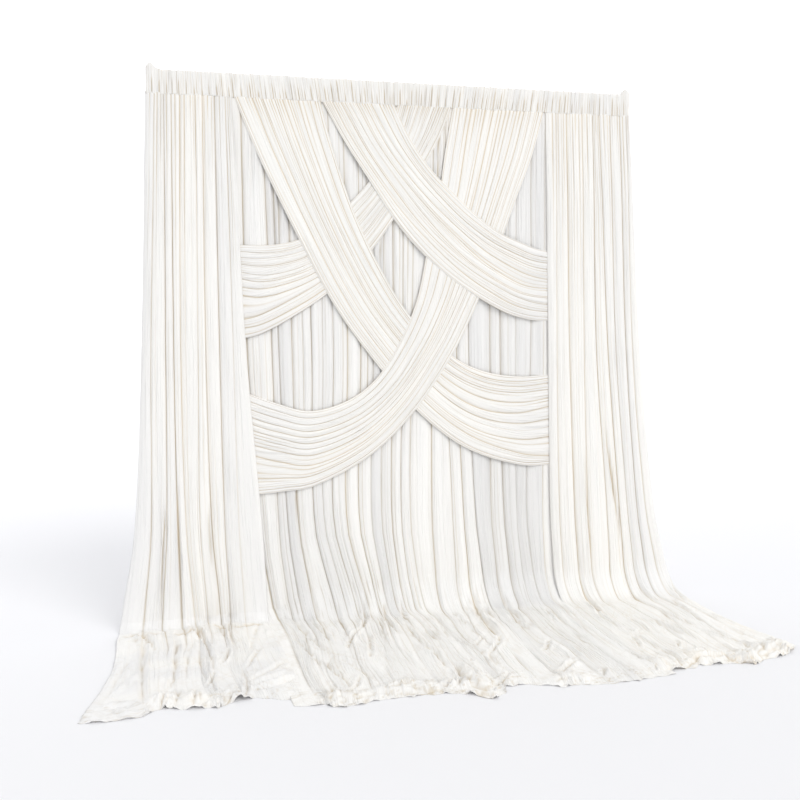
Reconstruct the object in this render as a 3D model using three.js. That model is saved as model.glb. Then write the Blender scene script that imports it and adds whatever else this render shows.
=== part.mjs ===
// Backdrop drape: a gathered rod-pocket heading that carries a pleated back drape, two side
// panels and four crossing swags, all of ivory jersey, with trains spread on the floor.
// Millimetres, +Z up, +X to the viewer's right, -Y towards the viewer. The origin is the
// middle of the heading's top edge, on the line of the rod that holds the drape up.

import * as THREE from 'three';

// Driving sizes
const DROP = 3050; // from the heading's top edge to the floor
const HEADING_WIDTH = 2810;
const HEADING_DROP = 130; // from the top edge to the seam under the rod pocket
const CLOTH = 2.5; // thickness of a gathered layer of cloth
const SEAM_GAP = 1; // from the heading's seam to the head of each cloth below it

// Levels of the back face of each cloth, front to back, where -Y is towards the viewer
const BACK_DRAPE_SEAM_Y = 6;
const BACK_DRAPE_HANG_Y = 30;
const SIDE_PANEL_SEAM_Y = -1;
const SIDE_PANEL_HANG_Y = -17;

// Height of the fold crests of each cloth above its back face
const BACK_DRAPE_CREST = 22;
const SIDE_PANEL_CREST = 26;
const SWAG_CREST = 8;

const ivory = new THREE.MeshStandardMaterial({ color: 0xf3f0ea, roughness: 0.85, metalness: 0 });
const shadedIvory = new THREE.MeshStandardMaterial({ color: 0xe7e5e2, roughness: 0.88, metalness: 0 });

// The value at s on a smooth curve through the values that stand at the given stations.
function curveAt(stations, values, s) {
  const last = stations.length - 1;
  let i = 0;
  while (i < last - 1 && s > stations[i + 1]) i += 1;
  const slope = (k) => {
    const a = Math.max(k - 1, 0);
    const b = Math.min(k + 1, last);
    return (values[b] - values[a]) / (stations[b] - stations[a]);
  };
  const width = stations[i + 1] - stations[i];
  const f = THREE.MathUtils.clamp((s - stations[i]) / width, 0, 1);
  const rise = f * f * (3 - 2 * f);
  const leave = f * (1 - f) * (1 - f) * width * slope(i);
  const arrive = f * f * (1 - f) * width * slope(i + 1);
  return values[i] + (values[i + 1] - values[i]) * rise + leave - arrive;
}

// A closed body from a triangle list, with its faces turned outwards, as a named mesh.
function closedBody(name, points, triangles, material) {
  let volume = 0;
  for (const [a, b, c] of triangles) {
    volume += points[a].dot(new THREE.Vector3().crossVectors(points[b], points[c]));
  }
  const outward = volume > 0 ? triangles : triangles.map(([a, b, c]) => [a, c, b]);
  const geometry = new THREE.BufferGeometry().setFromPoints(points);
  geometry.setIndex(outward.flat());
  geometry.computeVertexNormals();
  const mesh = new THREE.Mesh(geometry, material);
  mesh.name = name;
  return mesh;
}

// A sheet of cloth: a grid of points on its back face, and the same grid on its front face,
// joined round the four borders. pointAt(i, j) gives the two points of one grid place.
function clothSheet(name, rows, columns, pointAt, material) {
  const points = [];
  for (let i = 0; i < rows; i += 1) {
    for (let j = 0; j < columns; j += 1) points.push(...pointAt(i, j));
  }
  const back = (i, j) => 2 * (i * columns + j);
  const front = (i, j) => back(i, j) + 1;
  const triangles = [];
  const quad = (a, b, c, d) => triangles.push([a, b, c], [a, c, d]);
  for (let i = 0; i < rows - 1; i += 1) {
    for (let j = 0; j < columns - 1; j += 1) {
      quad(front(i, j), front(i + 1, j), front(i + 1, j + 1), front(i, j + 1));
      quad(back(i, j), back(i, j + 1), back(i + 1, j + 1), back(i + 1, j));
    }
  }
  const low = rows - 1;
  const right = columns - 1;
  for (let j = 0; j < right; j += 1) {
    quad(front(0, j), front(0, j + 1), back(0, j + 1), back(0, j));
    quad(front(low, j + 1), front(low, j), back(low, j), back(low, j + 1));
  }
  for (let i = 0; i < low; i += 1) {
    quad(front(i + 1, 0), front(i, 0), back(i, 0), back(i + 1, 0));
    quad(front(i, right), front(i + 1, right), back(i + 1, right), back(i, right));
  }
  return closedBody(name, points, triangles, material);
}

// The heading: a sleeve of cloth gathered along the rod and open at both ends, with a closed
// seam at its foot. Its section is an outline that the gathers puff in and out.
const SLEEVE_WALL = 3;
const SLEEVE_STATIONS = 48;
const GATHER_PUFF = 0.14;
const GATHER_LEAN = 26; // sideways run of a gather between the top edge and the seam
const PEAK_RISE = 30; // the cloth is pulled up into a peak near both ends
const PEAK_FROM_END = 24;
const PEAK_WIDTH = 26;
const SLEEVE_OUTLINE = [
  { y: 0, z: 0 },
  { y: -17, z: -7 },
  { y: -23, z: -28 },
  { y: -19, z: -80 },
  { y: -11, z: -HEADING_DROP },
  { y: 7, z: -HEADING_DROP },
  { y: 19, z: -80 },
  { y: 23, z: -28 },
  { y: 17, z: -7 },
];

// The same outline moved inwards by the wall, each corner along the mean of its two sides.
function insetOutline(outline, wall) {
  return outline.map((corner, k) => {
    const before = outline[(k + outline.length - 1) % outline.length];
    const after = outline[(k + 1) % outline.length];
    const arriving = new THREE.Vector2(corner.y - before.y, corner.z - before.z).normalize();
    const leaving = new THREE.Vector2(after.y - corner.y, after.z - corner.z).normalize();
    const inward = new THREE.Vector2(-arriving.y - leaving.y, arriving.x + leaving.x).normalize();
    const reach = wall / Math.max(inward.dot(new THREE.Vector2(-arriving.y, arriving.x)), 0.5);
    return { y: corner.y + inward.x * reach, z: corner.z + inward.y * reach };
  });
}

function heading() {
  const ring = [...SLEEVE_OUTLINE, ...insetOutline(SLEEVE_OUTLINE, SLEEVE_WALL)];
  const corners = SLEEVE_OUTLINE.length;
  const half = HEADING_WIDTH / 2;
  const points = [];
  for (let k = 0; k <= SLEEVE_STATIONS; k += 1) {
    const across = -1 + (2 * k) / SLEEVE_STATIONS;
    const inside = k > 0 && k < SLEEVE_STATIONS;
    const x = half * (across + (inside ? 0.007 * Math.sin(5.1 * k) : 0));
    const puff = 1 + GATHER_PUFF * (k % 2 ? 1 : -1) * (0.7 + 0.3 * Math.sin(2.3 * k));
    const lean = GATHER_LEAN * (1 - across * across) * -Math.sin(Math.PI * across);
    const fromPeak = (half - Math.abs(x) - PEAK_FROM_END) / PEAK_WIDTH;
    const peak = PEAK_RISE * Math.exp(-fromPeak * fromPeak);
    for (const corner of ring) {
      const depth = -corner.z / HEADING_DROP;
      const atTop = depth < 0.12 ? 1 : 0;
      const wide = depth < 0.9 ? puff : 1;
      points.push(new THREE.Vector3(x + lean * depth, corner.y * wide, corner.z + peak * atTop));
    }
  }
  const outer = (k, c) => k * 2 * corners + (c % corners);
  const inner = (k, c) => outer(k, c) + corners;
  const triangles = [];
  const quad = (a, b, c, d) => triangles.push([a, b, c], [a, c, d]);
  for (let c = 0; c < corners; c += 1) {
    for (let k = 0; k < SLEEVE_STATIONS; k += 1) {
      quad(outer(k, c), outer(k + 1, c), outer(k + 1, c + 1), outer(k, c + 1));
      quad(inner(k, c), inner(k, c + 1), inner(k + 1, c + 1), inner(k + 1, c));
    }
    quad(outer(0, c), outer(0, c + 1), inner(0, c + 1), inner(0, c));
    const end = SLEEVE_STATIONS;
    quad(outer(end, c), inner(end, c), inner(end, c + 1), outer(end, c + 1));
  }
  return closedBody('heading', points, triangles, ivory);
}

// A long panel hangs from the seam, bends forward at the floor and runs out as a train. Its
// stages are 0 at the seam, 1 where the bend begins, 2 where it ends and 3 at the hem.
const WAIST_Z = -1500;
const KNEE_Z = -2500;
const FOOT_STAGE = 1.5;
const TRAIN_STAGE = 2.5;
const HEM_STAGE = 3;
const PANEL_ROWS = [0, 0.015, 0.06, 0.14, 0.28, 0.45, 0.6, 0.73, 0.85, 0.94, 1]
  .concat([1.25, 1.5, 1.75, 2], [2.2, 2.42, 2.64, 2.82, 2.94, 3]);

// Share of its full height that a fold has at each stage: gathered flat at the seam, full in
// the hanging length, and lower on the floor.
const FULLNESS_STAGES = [0, 0.06, 0.2, 1, 2, 2.6, 3];
const FULLNESS = [0.1, 0.35, 0.9, 1, 0.85, 0.6, 0.45];

// Two crests stand between grooves that are further apart than this, or else one.
const WIDE_BAND = 58;
const CREST_PLACES_WIDE = [0.28, 0.72];
const CREST_PLACES_NARROW = [0.5];
const EDGE_LIFT = 0.4;

// Each row is a groove, or the edge of the cloth at the first and the last row: its X at the
// seam, waist, knee, foot, middle of the train and hem, how far its hem reaches forward, and
// its depth as a share of the crest.
const BACK_DRAPE_FOLDS = [
  { seam: -985, waist: -940, knee: -862, foot: -782, train: -774, hem: -771, reach: 1300, depth: 0 },
  { seam: -905, waist: -884, knee: -817, foot: -738, train: -735, hem: -735, reach: 1320, depth: 0.9 },
  { seam: -790, waist: -750, knee: -718, foot: -660, train: -660, hem: -668, reach: 1350, depth: 0.8 },
  { seam: -740, waist: -708, knee: -664, foot: -595, train: -605, hem: -615, reach: 1368, depth: 0.9 },
  { seam: -655, waist: -632, knee: -606, foot: -525, train: -545, hem: -555, reach: 1362, depth: 0.9 },
  { seam: -560, waist: -523, knee: -513, foot: -410, train: -430, hem: -450, reach: 1340, depth: 1 },
  { seam: -480, waist: -462, knee: -458, foot: -345, train: -370, hem: -390, reach: 1320, depth: 0.6 },
  { seam: -425, waist: -400, knee: -400, foot: -285, train: -310, hem: -330, reach: 1322, depth: 0.7 },
  { seam: -340, waist: -315, knee: -325, foot: -215, train: -245, hem: -265, reach: 1318, depth: 0.5 },
  { seam: -255, waist: -238, knee: -250, foot: -155, train: -185, hem: -205, reach: 1322, depth: 0.8 },
  { seam: -165, waist: -165, knee: -178, foot: -100, train: -120, hem: -140, reach: 1328, depth: 0.6 },
  { seam: -100, waist: -108, knee: -118, foot: -50, train: -65, hem: -80, reach: 1335, depth: 0.7 },
  { seam: -48, waist: -50, knee: -54, foot: 2, train: -5, hem: -20, reach: 1395, depth: 1 },
  { seam: 14, waist: 10, knee: 2, foot: 58, train: 55, hem: 48, reach: 1448, depth: 0.8 },
  { seam: 80, waist: 66, knee: 56, foot: 116, train: 112, hem: 112, reach: 1405, depth: 0.6 },
  { seam: 190, waist: 188, knee: 187, foot: 218, train: 195, hem: 182, reach: 1310, depth: 1 },
  { seam: 262, waist: 274, knee: 318, foot: 345, train: 300, hem: 286, reach: 1312, depth: 0.8 },
  { seam: 330, waist: 338, knee: 386, foot: 424, train: 372, hem: 350, reach: 1352, depth: 1 },
  { seam: 398, waist: 412, knee: 462, foot: 520, train: 462, hem: 446, reach: 1385, depth: 0.9 },
  { seam: 530, waist: 543, knee: 560, foot: 605, train: 552, hem: 548, reach: 1385, depth: 0.9 },
  { seam: 600, waist: 608, knee: 644, foot: 695, train: 640, hem: 640, reach: 1402, depth: 1 },
  { seam: 695, waist: 706, knee: 722, foot: 772, train: 735, hem: 738, reach: 1412, depth: 0.5 },
  { seam: 785, waist: 800, knee: 788, foot: 845, train: 815, hem: 826, reach: 1405, depth: 0.6 },
  { seam: 870, waist: 880, knee: 888, foot: 912, train: 880, hem: 894, reach: 1385, depth: 0.8 },
  { seam: 945, waist: 944, knee: 950, foot: 956, train: 935, hem: 951, reach: 1370, depth: 0 },
];
const LEFT_PANEL_FOLDS = [
  { seam: -1410, waist: -1460, knee: -1523, foot: -1612, train: -1650, hem: -1785, reach: 1250, depth: 0 },
  { seam: -1362, waist: -1408, knee: -1432, foot: -1485, train: -1512, hem: -1510, reach: 1235, depth: 0.6 },
  { seam: -1314, waist: -1331, knee: -1348, foot: -1382, train: -1372, hem: -1400, reach: 1150, depth: 1 },
  { seam: -1275, waist: -1288, knee: -1286, foot: -1272, train: -1282, hem: -1295, reach: 1185, depth: 1 },
  { seam: -1230, waist: -1253, knee: -1240, foot: -1202, train: -1205, hem: -1218, reach: 1215, depth: 0.6 },
  { seam: -1150, waist: -1156, knee: -1166, foot: -1132, train: -1142, hem: -1150, reach: 1232, depth: 0.6 },
  { seam: -1112, waist: -1117, knee: -1100, foot: -1058, train: -1062, hem: -1065, reach: 1150, depth: 0.8 },
  { seam: -1048, waist: -1043, knee: -1030, foot: -1006, train: -1005, hem: -1000, reach: 1185, depth: 0.9 },
  { seam: -990, waist: -968, knee: -952, foot: -925, train: -930, hem: -900, reach: 1192, depth: 0.4 },
  { seam: -950, waist: -895, knee: -817, foot: -790, train: -782, hem: -778, reach: 1185, depth: 0 },
];
const RIGHT_PANEL_FOLDS = [
  { seam: 870, waist: 905, knee: 930, foot: 964, train: 942, hem: 958, reach: 1370, depth: 0 },
  { seam: 934, waist: 958, knee: 990, foot: 1022, train: 990, hem: 1004, reach: 1350, depth: 0.6 },
  { seam: 1000, waist: 1038, knee: 1088, foot: 1124, train: 1082, hem: 1106, reach: 1325, depth: 0.8 },
  { seam: 1100, waist: 1132, knee: 1176, foot: 1212, train: 1176, hem: 1196, reach: 1310, depth: 0.7 },
  { seam: 1168, waist: 1216, knee: 1300, foot: 1330, train: 1292, hem: 1300, reach: 1298, depth: 0.7 },
  { seam: 1208, waist: 1290, knee: 1388, foot: 1432, train: 1396, hem: 1390, reach: 1300, depth: 1 },
  { seam: 1278, waist: 1342, knee: 1440, foot: 1500, train: 1470, hem: 1478, reach: 1365, depth: 0.7 },
  { seam: 1342, waist: 1412, knee: 1504, foot: 1580, train: 1560, hem: 1590, reach: 1312, depth: 1 },
  { seam: 1384, waist: 1450, knee: 1560, foot: 1660, train: 1658, hem: 1715, reach: 1295, depth: 0.5 },
  { seam: 1408, waist: 1508, knee: 1626, foot: 1742, train: 1762, hem: 1846, reach: 1185, depth: 0 },
];

// Where the train is bunched up off the floor: the middle of each puff, its half widths
// across and along the train, and its height.
const PUFFS = [
  { x: -1420, y: -1110, across: 60, along: 60, high: 24 },
  { x: -1285, y: -1125, across: 45, along: 60, high: 20 },
  { x: -1145, y: -1150, across: 90, along: 55, high: 20 },
  { x: -625, y: -1270, across: 80, along: 60, high: 24 },
  { x: -290, y: -1240, across: 130, along: 70, high: 26 },
  { x: 50, y: -1180, across: 60, along: 240, high: 42 },
  { x: 40, y: -720, across: 55, along: 160, high: 24 },
  { x: 440, y: -520, across: 60, along: 130, high: 22 },
  { x: 480, y: -1310, across: 90, along: 55, high: 26 },
  { x: 1000, y: -1240, across: 60, along: 70, high: 26 },
  { x: 1260, y: -1180, across: 110, along: 60, high: 24 },
  { x: 1480, y: -1280, across: 60, along: 60, high: 30 },
  { x: 1690, y: -1200, across: 90, along: 70, high: 26 },
];

function puffHeight(x, y) {
  return PUFFS.reduce((height, puff) => {
    const across = (x - puff.x) / puff.across;
    const along = (y - puff.y) / puff.along;
    return height + puff.high * Math.exp(-across * across - along * along);
  }, 0);
}

function longPanel(name, folds, shape, material) {
  const seamZ = -HEADING_DROP - SEAM_GAP;
  const bendZ = -DROP + shape.bend;
  const stageOf = (z) => (seamZ - z) / (seamZ - bendZ);
  const stages = [0, stageOf(WAIST_Z), stageOf(KNEE_Z), FOOT_STAGE, TRAIN_STAGE, HEM_STAGE];
  const grooveX = (fold, stage) => {
    const places = [fold.seam, fold.waist, fold.knee, fold.foot, fold.train, fold.hem];
    return curveAt(stages, places, stage);
  };

  // One column at each edge and groove, and one or two on the crests between them
  const columns = [];
  folds.forEach((fold, k) => {
    const edge = k === 0 || k === folds.length - 1;
    columns.push({ from: fold, to: fold, part: 0, lift: edge ? EDGE_LIFT : 1 - fold.depth });
    if (k === folds.length - 1) return;
    const next = folds[k + 1];
    const wide = Math.abs(next.waist - fold.waist) > WIDE_BAND;
    const lift = 0.75 + 0.125 * (fold.depth + next.depth);
    for (const part of wide ? CREST_PLACES_WIDE : CREST_PLACES_NARROW) {
      columns.push({ from: fold, to: next, part, lift });
    }
  });

  const pointAt = (i, j) => {
    const stage = PANEL_ROWS[i];
    const { from, to, part, lift } = columns[j];
    const x = THREE.MathUtils.lerp(grooveX(from, stage), grooveX(to, stage), part);
    const reach = THREE.MathUtils.lerp(from.reach, to.reach, part);
    const baseY = THREE.MathUtils.lerp(shape.seamY, shape.hangY, THREE.MathUtils.smoothstep(stage, 0, 0.2));
    const turn = THREE.MathUtils.clamp(stage - 1, 0, 1) * (Math.PI / 2);
    const out = new THREE.Vector3(0, -Math.cos(turn), Math.sin(turn));
    const floorRun = Math.max(stage - 2, 0) * (reach + shape.hangY - shape.bend);
    const hung = Math.min(stage, 1);
    const y = baseY - shape.bend * (1 - Math.cos(turn)) - floorRun;
    const z = THREE.MathUtils.lerp(seamZ, bendZ, hung) - shape.bend * Math.sin(turn);
    const puff = puffHeight(x, y) * THREE.MathUtils.clamp(stage - 1.75, 0, 1);
    const height = shape.crest * lift * curveAt(FULLNESS_STAGES, FULLNESS, stage) + puff;
    const back = new THREE.Vector3(x, y, z).addScaledVector(out, height);
    return [back, back.clone().addScaledVector(out, CLOTH)];
  };
  return clothSheet(name, PANEL_ROWS.length, columns.length, pointAt, material);
}

// A swag is a pleated band from its head at the seam to its end behind a side panel. Each row
// gives its two edges, in the plane of the drape, and the Y of its back face; rows stand at
// equal steps along the band.
const SWAG_STEPS = [0, 0.025, 0.06, 0.125, 0.19, 0.26, 0.34, 0.42, 0.5, 0.58, 0.66, 0.74, 0.82, 0.91, 1];
const SWAG_HEAD_CREST = 1.5;
const SWAG_FULL_STEP = 0.125; // the share of its length in which the gathers open out
const HEAD_Z = -HEADING_DROP - SEAM_GAP;

const SWAGS = [
  {
    name: 'swag_upper_left',
    rows: [
      { lowX: 290, lowZ: HEAD_Z, highX: -30, highZ: HEAD_Z, back: -1 },
      { lowX: 215, lowZ: -315, highX: -80, highZ: -310, back: -3 },
      { lowX: 60, lowZ: -590, highX: -170, highZ: -525, back: -3 },
      { lowX: -80, lowZ: -815, highX: -290, highZ: -665, back: -3 },
      { lowX: -250, lowZ: -1030, highX: -440, highZ: -795, back: -3 },
      { lowX: -435, lowZ: -1190, highX: -590, highZ: -885, back: -3 },
      { lowX: -625, lowZ: -1315, highX: -700, highZ: -915, back: -3 },
      { lowX: -805, lowZ: -1410, highX: -820, highZ: -925, back: -3 },
      { lowX: -938, lowZ: -1442, highX: -945, highZ: -920, back: -3 },
    ],
    pleats: [
      { head: 0.05, quarter: 0.07, half: 0.08, late: 0.1, end: 0.12, depth: 0.8 },
      { head: 0.13, quarter: 0.2, half: 0.22, late: 0.23, end: 0.2, depth: 1 },
      { head: 0.22, quarter: 0.28, half: 0.28, late: 0.37, end: 0.48, depth: 0.9 },
      { head: 0.31, quarter: 0.36, half: 0.36, late: 0.45, end: 0.56, depth: 1 },
      { head: 0.41, quarter: 0.43, half: 0.45, late: 0.54, end: 0.65, depth: 0.9 },
      { head: 0.5, quarter: 0.52, half: 0.54, late: 0.62, end: 0.72, depth: 1 },
      { head: 0.6, quarter: 0.65, half: 0.66, late: 0.73, end: 0.8, depth: 1 },
      { head: 0.75, quarter: 0.76, half: 0.78, late: 0.83, end: 0.87, depth: 0.7 },
      { head: 0.87, quarter: 0.88, half: 0.88, late: 0.9, end: 0.93, depth: 0.9 },
    ],
  },
  {
    name: 'swag_lower_right',
    rows: [
      { lowX: -940, lowZ: HEAD_Z, highX: -465, highZ: HEAD_Z, back: -6 },
      { lowX: -800, lowZ: -465, highX: -400, highZ: -370, back: -10 },
      { lowX: -615, lowZ: -845, highX: -275, highZ: -735, back: -17 },
      { lowX: -425, lowZ: -1205, highX: -95, highZ: -1095, back: -18 },
      { lowX: -220, lowZ: -1500, highX: 95, highZ: -1365, back: -18 },
      { lowX: 85, lowZ: -1860, highX: 310, highZ: -1550, back: -16 },
      { lowX: 390, lowZ: -2095, highX: 500, highZ: -1640, back: -8 },
      { lowX: 725, lowZ: -2210, highX: 715, highZ: -1675, back: -4 },
      { lowX: 965, lowZ: -2216, highX: 955, highZ: -1667, back: -3 },
    ],
    pleats: [
      { head: 0.03, quarter: 0.06, half: 0.06, late: 0.05, end: 0.04, depth: 0.6 },
      { head: 0.2, quarter: 0.22, half: 0.2, late: 0.17, end: 0.09, depth: 1 },
      { head: 0.3, quarter: 0.33, half: 0.31, late: 0.28, end: 0.32, depth: 0.8 },
      { head: 0.46, quarter: 0.47, half: 0.46, late: 0.43, end: 0.52, depth: 1 },
      { head: 0.55, quarter: 0.56, half: 0.56, late: 0.54, end: 0.66, depth: 1 },
      { head: 0.64, quarter: 0.65, half: 0.66, late: 0.68, end: 0.75, depth: 0.8 },
      { head: 0.73, quarter: 0.73, half: 0.76, late: 0.79, end: 0.84, depth: 0.9 },
      { head: 0.87, quarter: 0.85, half: 0.86, late: 0.87, end: 0.91, depth: 1 },
      { head: 0.96, quarter: 0.95, half: 0.94, late: 0.93, end: 0.965, depth: 0.7 },
    ],
  },
  {
    name: 'swag_lower_left',
    rows: [
      { lowX: 860, lowZ: HEAD_Z, highX: 300, highZ: HEAD_Z, back: -1 },
      { lowX: 785, lowZ: -400, highX: 258, highZ: -370, back: -8 },
      { lowX: 690, lowZ: -645, highX: 215, highZ: -650, back: -12 },
      { lowX: 580, lowZ: -945, highX: 155, highZ: -920, back: -18 },
      { lowX: 465, lowZ: -1220, highX: 90, highZ: -1220, back: -30 },
      { lowX: 310, lowZ: -1530, highX: -20, highZ: -1475, back: -34 },
      { lowX: 80, lowZ: -1860, highX: -160, highZ: -1680, back: -33 },
      { lowX: -180, lowZ: -2110, highX: -330, highZ: -1800, back: -22 },
      { lowX: -500, lowZ: -2275, highX: -540, highZ: -1850, back: -10 },
      { lowX: -700, lowZ: -2305, highX: -740, highZ: -1798, back: -4 },
      { lowX: -882, lowZ: -2318, highX: -925, highZ: -1728, back: -3 },
    ],
    pleats: [
      { head: 0.06, quarter: 0.05, half: 0.06, late: 0.05, end: 0.04, depth: 0.6 },
      { head: 0.15, quarter: 0.15, half: 0.19, late: 0.15, end: 0.16, depth: 0.9 },
      { head: 0.22, quarter: 0.23, half: 0.29, late: 0.27, end: 0.4, depth: 0.9 },
      { head: 0.3, quarter: 0.31, half: 0.36, late: 0.4, end: 0.5, depth: 1 },
      { head: 0.38, quarter: 0.39, half: 0.43, late: 0.48, end: 0.58, depth: 0.9 },
      { head: 0.47, quarter: 0.46, half: 0.5, late: 0.55, end: 0.65, depth: 1 },
      { head: 0.56, quarter: 0.55, half: 0.57, late: 0.63, end: 0.71, depth: 1 },
      { head: 0.65, quarter: 0.63, half: 0.65, late: 0.71, end: 0.78, depth: 0.9 },
      { head: 0.8, quarter: 0.77, half: 0.78, late: 0.81, end: 0.85, depth: 0.9 },
      { head: 0.92, quarter: 0.9, half: 0.89, late: 0.9, end: 0.93, depth: 0.8 },
    ],
  },
  {
    name: 'swag_upper_right',
    rows: [
      { lowX: -455, lowZ: HEAD_Z, highX: -40, highZ: HEAD_Z, back: -6 },
      { lowX: -330, lowZ: -350, highX: 60, highZ: -325, back: -22 },
      { lowX: -200, lowZ: -545, highX: 175, highZ: -480, back: -26 },
      { lowX: -30, lowZ: -785, highX: 300, highZ: -600, back: -33 },
      { lowX: 155, lowZ: -985, highX: 435, highZ: -722, back: -45 },
      { lowX: 350, lowZ: -1140, highX: 585, highZ: -825, back: -45 },
      { lowX: 595, lowZ: -1280, highX: 745, highZ: -893, back: -34 },
      { lowX: 765, lowZ: -1335, highX: 830, highZ: -922, back: -12 },
      { lowX: 935, lowZ: -1350, highX: 930, highZ: -940, back: -3 },
    ],
    pleats: [
      { head: 0.04, quarter: 0.07, half: 0.06, late: 0.06, end: 0.05, depth: 0.7 },
      { head: 0.13, quarter: 0.14, half: 0.19, late: 0.15, end: 0.13, depth: 0.9 },
      { head: 0.25, quarter: 0.27, half: 0.28, late: 0.27, end: 0.24, depth: 0.9 },
      { head: 0.36, quarter: 0.4, half: 0.4, late: 0.33, end: 0.33, depth: 0.8 },
      { head: 0.46, quarter: 0.49, half: 0.54, late: 0.46, end: 0.47, depth: 1 },
      { head: 0.57, quarter: 0.6, half: 0.65, late: 0.61, end: 0.6, depth: 1 },
      { head: 0.66, quarter: 0.71, half: 0.74, late: 0.74, end: 0.745, depth: 0.9 },
      { head: 0.78, quarter: 0.79, half: 0.81, late: 0.82, end: 0.84, depth: 1 },
      { head: 0.9, quarter: 0.88, half: 0.9, late: 0.9, end: 0.91, depth: 0.9 },
    ],
  },
];

function swag({ name, rows, pleats }) {
  const equalSteps = rows.map((row, k) => k / (rows.length - 1));
  const along = (key, step) => curveAt(equalSteps, rows.map((row) => row[key]), step);
  const quarters = [0, 0.25, 0.5, 0.75, 1];
  const creaseAt = (pleat, step) => {
    const places = [pleat.head, pleat.quarter, pleat.half, pleat.late, pleat.end];
    return curveAt(quarters, places, step);
  };

  // Across the band: an edge, then a crest and a crease for each pleat, a crest and an edge
  const edges = [
    { head: 0, quarter: 0, half: 0, late: 0, end: 0, depth: 1 },
    { head: 1, quarter: 1, half: 1, late: 1, end: 1, depth: 1 },
  ];
  const creases = [edges[0], ...pleats, edges[1]];
  const columns = 2 * creases.length - 1;

  const pointAt = (i, j) => {
    const step = SWAG_STEPS[i];
    const k = Math.floor(j / 2);
    const onCrest = j % 2 === 1;
    const here = creaseAt(creases[k], step);
    const across = onCrest ? (here + creaseAt(creases[k + 1], step)) / 2 : here;
    const x = THREE.MathUtils.lerp(along('lowX', step), along('highX', step), across);
    const z = THREE.MathUtils.lerp(along('lowZ', step), along('highZ', step), across);
    const opening = THREE.MathUtils.smoothstep(step, 0, SWAG_FULL_STEP);
    const crest = THREE.MathUtils.lerp(SWAG_HEAD_CREST, SWAG_CREST, opening);
    const height = crest * (onCrest ? 1 : 1 - creases[k].depth);
    const back = new THREE.Vector3(x, along('back', step) - height, z);
    return [back, new THREE.Vector3(x, back.y - CLOTH, z)];
  };
  return clothSheet(name, SWAG_STEPS.length, columns, pointAt, ivory);
}

const backDrapeShape = { seamY: BACK_DRAPE_SEAM_Y, hangY: BACK_DRAPE_HANG_Y, bend: 140, crest: BACK_DRAPE_CREST };
const leftPanelShape = { seamY: SIDE_PANEL_SEAM_Y, hangY: SIDE_PANEL_HANG_Y, bend: 70, crest: SIDE_PANEL_CREST };
const rightPanelShape = { seamY: SIDE_PANEL_SEAM_Y, hangY: SIDE_PANEL_HANG_Y, bend: 240, crest: SIDE_PANEL_CREST };

const backdrop = new THREE.Group();
backdrop.add(heading());
backdrop.add(longPanel('back_drape', BACK_DRAPE_FOLDS, backDrapeShape, shadedIvory));
backdrop.add(longPanel('side_panel_left', LEFT_PANEL_FOLDS, leftPanelShape, ivory));
backdrop.add(longPanel('side_panel_right', RIGHT_PANEL_FOLDS, rightPanelShape, ivory));
for (const design of SWAGS) backdrop.add(swag(design));

export default backdrop;
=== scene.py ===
from collections import namedtuple
from math import pi, radians

import bpy
import numpy as np
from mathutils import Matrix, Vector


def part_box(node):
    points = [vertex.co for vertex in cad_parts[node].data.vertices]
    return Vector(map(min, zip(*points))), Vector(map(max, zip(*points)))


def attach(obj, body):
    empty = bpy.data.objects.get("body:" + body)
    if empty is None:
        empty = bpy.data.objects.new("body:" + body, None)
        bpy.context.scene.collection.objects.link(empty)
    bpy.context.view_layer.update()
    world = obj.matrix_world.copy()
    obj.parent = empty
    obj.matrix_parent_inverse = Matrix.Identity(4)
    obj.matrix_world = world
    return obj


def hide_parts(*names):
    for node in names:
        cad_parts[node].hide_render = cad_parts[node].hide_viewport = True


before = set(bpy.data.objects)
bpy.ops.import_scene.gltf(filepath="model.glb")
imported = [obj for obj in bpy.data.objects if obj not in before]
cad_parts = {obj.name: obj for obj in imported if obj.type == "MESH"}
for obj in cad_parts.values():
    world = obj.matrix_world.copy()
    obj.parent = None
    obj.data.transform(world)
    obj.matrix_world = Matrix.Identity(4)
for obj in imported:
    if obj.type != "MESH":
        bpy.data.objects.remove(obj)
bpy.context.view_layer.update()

# The camera stands left of the middle at eye height and looks a little to the right and
# down, as in the photograph. 47 mm on a 36 mm sensor gives the same spread of view.
CAMERA_PLACE = (-1.55, -5.83, -1.23)
CAMERA_YAW = 14.8
CAMERA_PITCH = 5.4
CAMERA_LENS = 47.0
CAMERA_SENSOR = 36.0

bpy.ops.object.camera_add(
    location=CAMERA_PLACE,
    rotation=(radians(90 - CAMERA_PITCH), 0, radians(-CAMERA_YAW)),
)
camera = bpy.context.object
camera.name = "camera"
camera.data.lens = CAMERA_LENS
camera.data.sensor_width = CAMERA_SENSOR
bpy.context.scene.camera = camera


# Back drape: one wide ivory jersey cloth, gathered into the seam under the rod pocket. It
# hangs in many narrow pleats, bends forward at the floor and runs out as a bunched train.
MM = 0.001
SEAM_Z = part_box("back_drape")[1][2]
FLOOR_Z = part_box("back_drape")[0][2]
CLOTH = 1.0 * MM

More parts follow.
